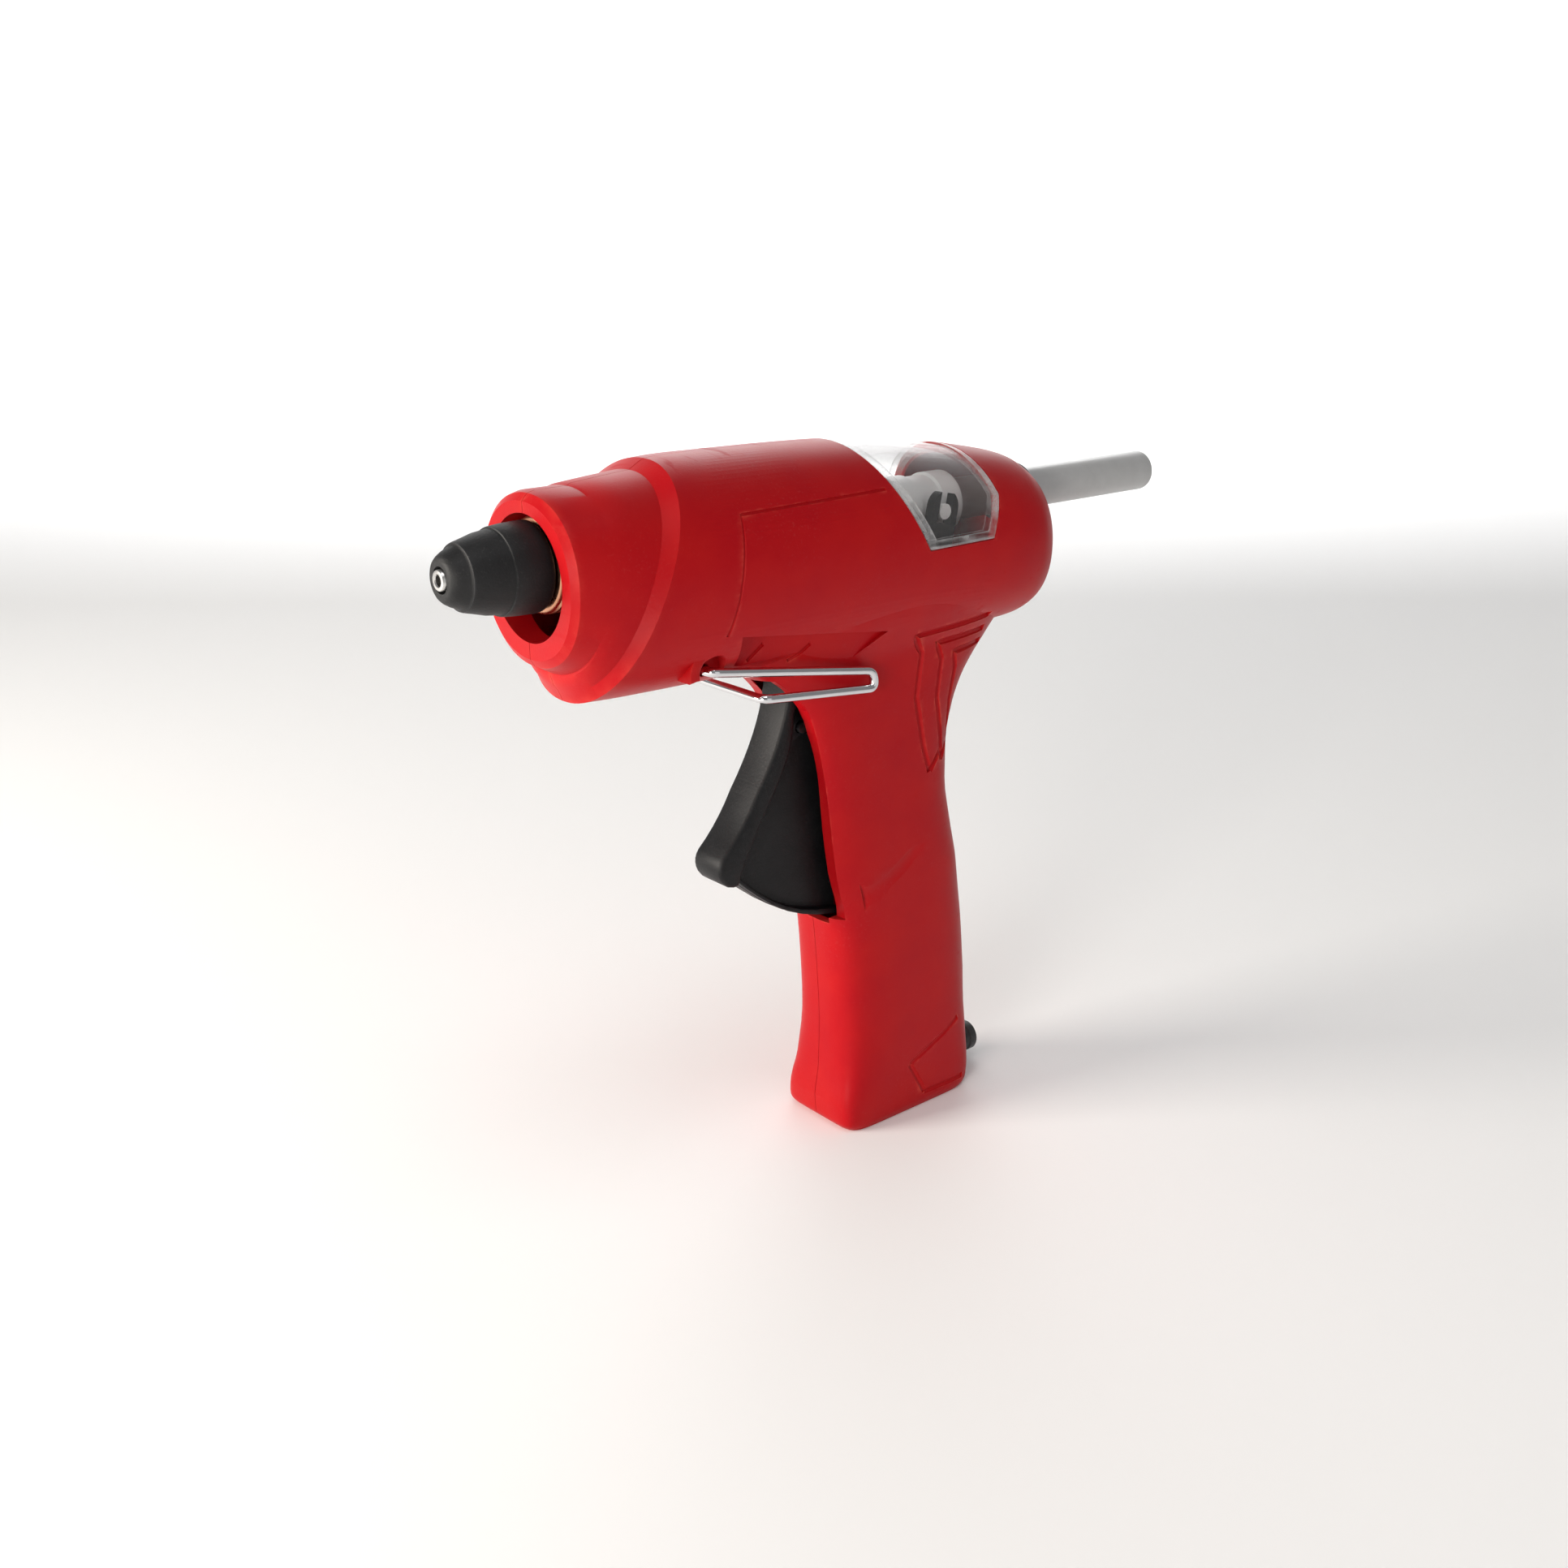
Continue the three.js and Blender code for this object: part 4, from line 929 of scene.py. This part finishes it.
class GLUEGUN_OT_stage(bpy.types.Operator):
    """Camera, lights, backdrop and floor"""

    bl_idname = "gluegun.stage"
    bl_label = "Stage"

    def execute(self, context):
        self.camera(context)
        self.floor()
        self.lights(context)
        return {"FINISHED"}

    def camera(self, context):
        data = bpy.data.cameras.new("Camera")
        data.lens = 39.97
        data.sensor_width = 36.0
        data.clip_start = 0.02
        data.clip_end = 40.0
        camera = bpy.data.objects.new("Camera", data)
        context.scene.collection.objects.link(camera)
        yaw, pitch, roll = 0.8748854, 0.3285704, -0.0063659
        ahead = Vector((-math.cos(yaw) * math.cos(pitch), -math.sin(yaw) * math.cos(pitch), -math.sin(pitch)))
        turn = ahead.to_track_quat("-Z", "Y").to_matrix() @ Matrix.Rotation(roll, 3, "Z")
        camera.matrix_world = Matrix.Translation(Vector((307.25, 323.76, 244.43)) * MM) @ turn.to_4x4()
        context.scene.camera = camera

    def floor(self):
        """A floor that curves up behind into a backdrop."""
        bm = bmesh.new()
        start = [bm.verts.new((6.0, -6.0, 0)), bm.verts.new((6.0, 6.0, 0))]
        edges = [bm.edges.new(start)]
        end, curve, top = -1.6, 0.9, 5.0
        turns = [math.pi / 2 * k / 12 for k in range(13)]
        bends = [(end - curve * math.sin(a), curve - curve * math.cos(a)) for a in turns]
        bends.append((end - curve, top))
        for x, z in bends:
            grown = bmesh.ops.extrude_edge_only(bm, edges=edges)["geom"]
            edges = [g for g in grown if isinstance(g, bmesh.types.BMEdge)]
            for v in [g for g in grown if isinstance(g, bmesh.types.BMVert)]:
                v.co.x, v.co.z = x, z
        bmesh.ops.rotate(bm, cent=(0, 0, 0), matrix=Matrix.Rotation(math.radians(50), 3, "Z"), verts=bm.verts)
        bmesh.ops.recalc_face_normals(bm, faces=bm.faces)
        for face in bm.faces:
            face.smooth = True
        mesh = bpy.data.meshes.new("studio_floor")
        bm.to_mesh(mesh)
        bm.free()
        made, graph, bsdf = shader("Studio floor")
        where = graph.add("ShaderNodeTexCoord").outputs["Object"]
        pale = tuple(colours().floor)
        tone = graph.mix(graph.noise(where, 3.0), pale, tuple(c * 0.985 for c in pale))
        graph.feed(bsdf.inputs["Base Color"], tone)
        set_plain(bsdf, Roughness=0.9, Specular_IOR_Level=0.1)
        mesh.materials.append(made)
        floor = bpy.data.objects.new("studio_floor", mesh)
        bpy.context.scene.collection.objects.link(floor)

    def lights(self, context):
        world = bpy.data.worlds.new("Studio")
        world.use_nodes = True
        world.node_tree.nodes["Background"].inputs["Color"].default_value = (1, 1, 1, 1)
        world.node_tree.nodes["Background"].inputs["Strength"].default_value = 0.24
        context.scene.world = world
        context.scene.view_settings.view_transform = "Standard"
        white, warm, warmer = (1.0, 1.0, 1.0), (1.0, 0.95, 0.88), (1.0, 0.94, 0.86)
        gun = (0.03, 0, 0.11)
        for name, place, target, size, power, tint in (
            ("Key", (0.95, -0.42, 0.36), gun, 0.45, 12.0, warmer),
            ("Front", (1.10, 0.50, 0.30), gun, 0.35, 6.0, warm),
            ("Top", (0.25, 0.30, 1.10), gun, 0.50, 2.2, white),
            ("Fill", (0.10, 1.15, 0.35), gun, 0.70, 0.8, white),
            ("Back", (-0.7, -0.7, 0.7), gun, 0.60, 1.2, white),
            ("Backdrop", (-0.8, -1.0, 1.5), (-2.0, -2.4, 0.7), 1.6, 50.0, white),
        ):
            data = bpy.data.lights.new(name, "AREA")
            data.shape = "SQUARE"
            data.size = size
            data.energy = power
            data.color = tint
            lamp = bpy.data.objects.new(name, data)
            lamp.location = place
            lamp.rotation_mode = "QUATERNION"
            lamp.rotation_quaternion = (Vector(target) - Vector(place)).to_track_quat("-Z", "Y")
            context.scene.collection.objects.link(lamp)


class GLUEGUN_OT_finishes(bpy.types.Operator):
    """Materials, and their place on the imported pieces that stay"""

    bl_idname = "gluegun.finishes"
    bl_label = "Finishes"

    def execute(self, context):
        make_materials()
        by_node = {
            "heating_chamber": "Aluminium", "heater_wedge": "Aluminium", "heater_film": "Amber film",
            "heater_stone": "White stone", "inlet_sleeve": "Silicone", "sleeve_clamp": "Steel",
            "grip_jaw": "Steel", "return_spring": "Steel", "feed_lever": "Black plastic",
            "trigger_link": "Steel", "cord_clamp": "Black plastic", "lead_live": "Brown lead",
            "lead_neutral": "Blue lead", "window": "Clear window", "glue_stick": "Milky glue",
            "feed_carriage": "Milky plastic", "stick_guide": "Black plastic", "nozzle": "Tip metal",
            "nozzle_cover": "Black rubber", "chamber_ring": "Copper", "trigger": "Black plastic",
            "wire_stand": "Chrome wire", "cord_gland": "Gland rubber",
            "housing_left": "Red shell", "housing_right": "Red shell",
        }
        for node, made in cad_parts.items():
            finish = material(by_node.get(node, "Steel"))
            if made.data.materials:
                made.data.materials[0] = finish
            else:
                made.data.materials.append(finish)
        return {"FINISHED"}


class GLUEGUN_OT_shells(bpy.types.Operator):
    """Both half shells, with their grooves, openings and screw seats"""

    bl_idname = "gluegun.shells"
    bl_label = "Half shells"

    def execute(self, context):
        facet = stand_facet()
        outer = join(barrel_body(0, 4, 112), handle_body(0, 3, 112))
        outer = cut(outer, mirrored(facet), facet)
        lines = panel_lines(Side(outer))
        shell = cut(outer, hollow_body())
        shell = join(shell, *stand_lips())
        shell = cut(shell, *lines, *[mirrored(line) for line in lines], *shell_cuts())
        far = 80
        gap = sizes().seam / MM / 2
        left = common(shell.copy(), block(-far, 2 * far, gap, far, -5, 3 * far))
        right = common(shell, block(-far, 2 * far, -far, -gap, -5, 3 * far))
        finish_piece(left, "shell_left", "Red shell", "housing", ["housing_left"], 24, 12.0)
        finish_piece(right, "shell_right", "Red shell", "housing", ["housing_right"], 24, 12.0)
        return {"FINISHED"}


class GLUEGUN_OT_window(bpy.types.Operator):
    """Clear window over the feed carriage, with its thick border"""

    bl_idname = "gluegun.window"
    bl_label = "Window"

    def execute(self, context):
        border = sizes().pane_border / MM
        frame_skin = cut(barrel_body(0.05, 3, 96), barrel_body(WALL - 0.2, 3, 96))
        rim = common(frame_skin, plate(window_outline(-FIT), -30, 30), self.upper_half())
        rim = cut(rim, plate(window_outline(-FIT - border), -30, 30))
        pane_skin = cut(barrel_body(0.55, 3, 96), barrel_body(WALL - 0.5, 3, 96))
        pane = common(pane_skin, plate(window_outline(-FIT - border + 0.2), -30, 30), self.upper_half())
        made = join(rim, pane)
        finish_piece(made, "clear_window", "Clear window", "housing", ["window"], reach=30.0)
        return {"FINISHED"}

    def upper_half(self):
        return block(-60, 60, -40, 40, AXIS - 8, AXIS + 40)


class GLUEGUN_OT_nozzle(bpy.types.Operator):
    """Metal nozzle, rubber cover and the ring behind it"""

    bl_idname = "gluegun.nozzle"
    bl_label = "Nozzle"

    def execute(self, context):
        front = NOSE - 6
        rear = front - 4.5
        metal_tip = turned([
            (rear, 1.7), (rear, 4.6), (front + 0.3, 4.6), (front + 0.3, 6.0),
            (NOSE + 7.4, 6.0), (TIP - 4, 2.7), (TIP - 0.25, 2.35), (TIP - 0.05, 2.2),
            (TIP, 2.0), (TIP, 1.5), (TIP - 0.3, 1.3), (TIP - 3, 1.25),
        ])
        finish_piece(metal_tip, "nozzle_tip", "Tip metal", "housing", ["nozzle"])
        back = NOSE - 1.6
        cover = turned([
            (back, 6.3), (back, 9.5), (back + 0.2, 9.9), (back + 0.6, 10.2), (back + 1.6, 10.3),
            (back + 6, 10.15), (back + 9.2, 9.85), (back + 9.5, 9.75), (back + 9.6, 9.45), (back + 9.9, 9.35),
            (back + 13, 8.95), (TIP - 7.6, 8.25), (TIP - 5.2, 7.65), (TIP - 4.7, 7.45), (TIP - 4.5, 7.0),
            (TIP - 4.2, 6.8), (TIP - 2.6, 6.1), (TIP - 1.5, 5.45), (TIP - 0.9, 4.9), (TIP - 0.55, 4.3),
            (TIP - 0.5, 3.6), (TIP - 0.6, 3.0), (TIP - 4, 3.0), (NOSE + 7.4, 6.3),
        ])
        finish_piece(
            cover, "nozzle_cover_rubber", "Black rubber", "housing", ["nozzle_cover"], 40
        )
        inner, outer = 7.2, 11.0
        ring = turned([
            (front - 1.2, inner), (front - 1.2, outer - 0.3), (front - 0.9, outer),
            (front + 0.3, outer), (front + 0.7, outer - 0.5), (front + 1.1, outer),
            (front + 1.9, outer), (front + 2.3, outer - 0.5), (front + 2.7, outer - 0.1),
            (front + 3.4, outer - 0.3), (front + 3.7, outer - 0.8), (front + 3.7, inner),
        ])
        finish_piece(ring, "nozzle_ring", "Copper", "housing", ["chamber_ring"], 50)
        return {"FINISHED"}


class GLUEGUN_OT_feed(bpy.types.Operator):
    """Glue stick, feed carriage and rear guide"""

    bl_idname = "gluegun.feed"
    bl_label = "Glue feed"

    def execute(self, context):
        r = sizes().stick / MM / 2
        rear, front = -98.0, 50.0
        stick = turned([
            (rear, 0), (rear, r - 0.7), (rear + 0.12, r - 0.35), (rear + 0.35, r - 0.1), (rear + 0.8, r),
            (-60, r), (-20, r), (20, r), (front - 0.7, r), (front, r - 0.6), (front, 0),
        ])
        finish_piece(stick, "milky_glue_stick", "Milky glue", "glue_stick", ["glue_stick"], 40)
        guide = turned([
            (REAR - 0.8, r + 1.0), (REAR - 0.8, r + 1.5), (REAR - 0.6, r + 1.8), (REAR - 0.3, r + 1.9),
            (REAR + 7, r + 1.9), (REAR + 7, r + 0.4), (REAR - 0.2, r + 0.4), (REAR - 0.6, r + 0.7),
        ])
        finish_piece(guide, "rear_guide", "Black plastic", "housing", ["stick_guide"], 40)
        middle, half = CARRIAGE, 11.0
        inner, outer = r + FIT, 8.2
        body = turned([
            (middle - half, inner), (middle - half, outer - 0.8), (middle - half + 0.8, outer),
            (middle - 4, outer), (middle - 3.4, outer - 0.6),
            (middle + 3.4, outer - 0.6), (middle + 4, outer), (middle + half - 0.8, outer),
            (middle + half, outer - 0.8), (middle + half, inner),
        ])
        bore = shaft(middle - 14, middle + 14, inner + 0.2, AXIS, 48)
        pins = cut(bar(middle, AXIS, 2.0, -12.2, 12.2, 32), bore)
        slot = block(middle - 5.3, middle + 7.3, -2.7, 2.7, AXIS - outer - 2, AXIS)
        body = cut(join(body, pins), slot)
        finish_piece(body, "carriage", "Milky plastic", "carriage", ["feed_carriage"], 30)
        return {"FINISHED"}


class GLUEGUN_OT_spring(bpy.types.Operator):
    """Return spring, which closes up as the carriage comes forward"""

    bl_idname = "gluegun.spring"
    bl_label = "Return spring"

    def execute(self, context):
        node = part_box("return_spring")
        wire = SPRING_WIRE
        rear, front = node[0].x / MM + wire / 2, node[1].x / MM - wire / 2
        radius = sizes().stick / MM / 2 + 0.9 + wire / 2
        steps = 36
        line = []
        for k in range(SPRING_TURNS * steps + 1):
            angle = 2 * math.pi * k / steps
            x = rear + (front - rear) * k / (SPRING_TURNS * steps)
            line.append((x, radius * math.cos(angle), AXIS + radius * math.sin(angle)))
        coil = sweep(line, wire / 2, 10)
        spring = finish_piece(coil, "feed_spring", "Steel", "housing", ["return_spring"], 60)
        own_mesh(spring)
        return {"FINISHED"}


class GLUEGUN_OT_trigger(bpy.types.Operator):
    """Trigger with its finger pad, skirt and ridge"""

    bl_idname = "gluegun.trigger"
    bl_label = "Trigger"

    def execute(self, context):
        x, z = PIVOT

        def at(points):
            return [(x + a, z + b) for a, b in points]

        def curve(a, b, c, steps=7):
            return [
                tuple((1 - t) ** 2 * p + 2 * t * (1 - t) * q + t * t * s for p, q, s in zip(a, b, c))
                for t in [k / steps for k in range(1, steps + 1)]
            ]

        pad = [(-4, 1), (3, 0.5), (3.6, -8)]
        pad += curve((3.6, -8), (5, -19), (14.6, -33), 8)
        pad += curve((14.6, -33), (19, -41), (25, -46.4), 5)
        pad += curve((25, -46.4), (27.2, -49), (25.4, -52.4), 5)
        pad += curve((25.4, -52.4), (23.4, -55.6), (20, -55), 4)
        pad += curve((20, -55), (16.8, -46), (8, -33), 7)
        pad += curve((8, -33), (1, -22), (1.5, -14), 6)
        edge = sizes().pad_round / MM

        def skirt(inset):
            return at([
                (3 - inset, -6 - inset), (6 - inset, -20), (21 - inset * 1.5, -53 + inset * 0.6),
                (17.8, -56.4 + inset), (14, -59.6 + inset), (9.2, -63.3 + inset), (4, -66.4 + inset),
                (-1, -68.6 + inset), (-6, -70.2 + inset), (-14 + inset, -71.8 + inset),
                (-12 + inset, -44), (-7 + inset, -18 - inset), (-5 + inset, -2 - inset),
            ])

        ridge = at([
            (20.8, -53.4), (17.8, -56.2), (14, -59.4), (9.2, -63.1), (4, -66.2), (-1, -68.4),
            (-6, -70.0), (-14, -71.6), (-14, -69.9), (-6, -68.3), (-0.6, -66.8), (4.4, -64.6),
            (9.4, -61.6), (14.4, -57.8), (18, -54.6), (20.4, -52),
        ])
        body = join(
            plate(at(pad), -5.5, 5.5, edge, 3),
            plate(skirt(0), -3.1, 3.1, 0.3, 1),
            plate(ridge, -5.3, 5.3, 0.45, 2),
            bar(x, z, 5.4, -5.5, 5.5, 48),
        )
        room = 1.8 + FIT
        # Room for the link, which the trigger carries on a pin of its own and swings rearwards.
        half_turn = [math.pi * k / 10 for k in range(11)]
        swing = [(x - 3 + 8 * math.sin(a), z - 17 - 8 * math.cos(a)) for a in half_turn]
        swing += [(x - 18 - 8 * math.sin(a), z - 16 + 8 * math.cos(a)) for a in half_turn]
        linkage = cut(plate(swing, -room, room), bar(x, z, 5.4, -20, 20, 48))
        tail = plate(at([(-2, -22), (-20, -22), (-20, -69), (-8, -67.6), (0, -64)]), -room, room)
        body = cut(
            body, plate(skirt(2.4), -room, room), linkage, tail,
            bar(x, z, 2.15, -20, 20, 24), bar(x - 2, z - 18, 1.65, -20, 20, 20),
        )
        finish_piece(body, "finger_trigger", "Black plastic", "trigger", ["trigger"], 34)
        low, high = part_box("trigger_pin")
        radius = (high.z - low.z) / MM / 2
        pin = bar(x, z, radius, -PIN_HALF, PIN_HALF, 32)
        rims = [e for e in pin.edges if abs(e.verts[0].co.y - e.verts[1].co.y) < 1e-6]
        bmesh.ops.bevel(pin, geom=rims, offset=0.3, segments=2, profile=0.5, affect="EDGES", material=-1)
        finish_piece(pin, "trigger_pivot_pin", "Steel", "housing", ["trigger_pin"], 40)
        return {"FINISHED"}


class GLUEGUN_OT_stand(bpy.types.Operator):
    """Folding wire stand"""

    bl_idname = "gluegun.stand"
    bl_label = "Wire stand"

    def execute(self, context):
        x, z = STAND
        rear, drop, slope = x - 50.4, 4.6, 0.165
        cross = x - 15.4

        def upper(a):
            return z + (a - x) * slope

        def half(s):
            side = s * STAND_SIDE
            return [
                (x, s * 8.2, z), (x, side, z), (rear, side, upper(rear)),
                (rear - 0.6, side, upper(rear - 0.6) - drop), (cross, side, upper(cross) - drop - 2.2),
            ]

        line = rounded(half(1) + half(-1)[::-1], 2.6, 8)
        wire = sweep(line, sizes().wire / MM / 2, 20)
        finish_piece(wire, "folding_stand", "Chrome wire", "stand", ["wire_stand"], 40)
        return {"FINISHED"}


class GLUEGUN_OT_gland(bpy.types.Operator):
    """Cord gland at the heel of the handle"""

    bl_idname = "gluegun.gland"
    bl_label = "Cord gland"

    def execute(self, context):
        wall = HANDLE_ROWS[2][1]
        end = wall - 11
        gland = turned([
            (end, 2.6), (end, 3.7), (end + 0.15, 4.15), (end + 0.5, 4.4), (end + 2.6, 4.4), (end + 2.9, 4.1),
            (end + 3.3, 4.0), (end + 10, 4.15), (wall + 2.8, 4.4), (wall + 2.8, 5.2),
            (wall + 4.8, 5.2), (wall + 4.8, 2.6),
        ], GLAND_Z, 64)
        finish_piece(gland, "gland", "Gland rubber", "housing", ["cord_gland"], 40)
        return {"FINISHED"}


class GLUEGUN_OT_screws(bpy.types.Operator):
    """Domed cross-head screws of the shells"""

    bl_idname = "gluegun.screws"
    bl_label = "Shell screws"

    def execute(self, context):
        for number, (x, z) in enumerate(SHELL_SCREWS, start=1):
            reach = screw_reach(z)
            screw = turned([
                (0, 0), (0.0, 1.2), (0.25, 2.2), (0.6, 2.65), (1.0, 2.8), (2.2, 2.8), (2.2, 1.4),
                (2 * reach - 1.2, 1.4), (2 * reach - 0.4, 0.6), (2 * reach - 0.4, 0),
            ], 0.0, 32)
            cross = join(block(-1, 1.2, -1.7, 1.7, -0.45, 0.45), block(-1, 1.2, -0.45, 0.45, -1.7, 1.7))
            screw = cut(screw, cross)
            across = Matrix.Rotation(math.pi / 2, 3, "Z")
            bmesh.ops.rotate(screw, cent=(0, 0, 0), matrix=across, verts=screw.verts)
            bmesh.ops.translate(screw, vec=(x, -reach, z), verts=screw.verts)
            node = f"housing_screw_{number}"
            finish_piece(screw, f"shell_screw_{number}", "Steel", "housing", [node], 40)
        return {"FINISHED"}


class GLUEGUN_PT_panel(bpy.types.Panel):
    """Sizes, colours and steps of the glue gun"""

    bl_label = "Glue gun"
    bl_idname = "GLUEGUN_PT_panel"
    bl_space_type = "VIEW_3D"
    bl_region_type = "UI"
    bl_category = "Glue gun"

    def draw(self, context):
        for group in (context.scene.glue_gun_sizes, context.scene.glue_gun_colours):
            box = self.layout.box()
            for name in group.bl_rna.properties.keys():
                if name not in ("rna_type", "name"):
                    box.prop(group, name)
        for step in STEPS:
            self.layout.operator(step.bl_idname)


# ------------------------------------------------------------------ running

STEPS = (
    GLUEGUN_OT_stage, GLUEGUN_OT_finishes, GLUEGUN_OT_shells, GLUEGUN_OT_window,
    GLUEGUN_OT_nozzle, GLUEGUN_OT_feed, GLUEGUN_OT_spring, GLUEGUN_OT_trigger,
    GLUEGUN_OT_stand, GLUEGUN_OT_gland, GLUEGUN_OT_screws,
)
CLASSES = (GlueGunSizes, GlueGunColours, *STEPS, GLUEGUN_PT_panel)


def register():
    for item in CLASSES:
        bpy.utils.register_class(item)
    bpy.types.Scene.glue_gun_sizes = PointerProperty(type=GlueGunSizes)
    bpy.types.Scene.glue_gun_colours = PointerProperty(type=GlueGunColours)


def unregister():
    del bpy.types.Scene.glue_gun_colours
    del bpy.types.Scene.glue_gun_sizes
    for item in reversed(CLASSES):
        bpy.utils.unregister_class(item)


def main():
    register()
    for step in STEPS:
        group, name = step.bl_idname.split(".")
        getattr(getattr(bpy.ops, group), name)()


if __name__ == "__main__":
    main()
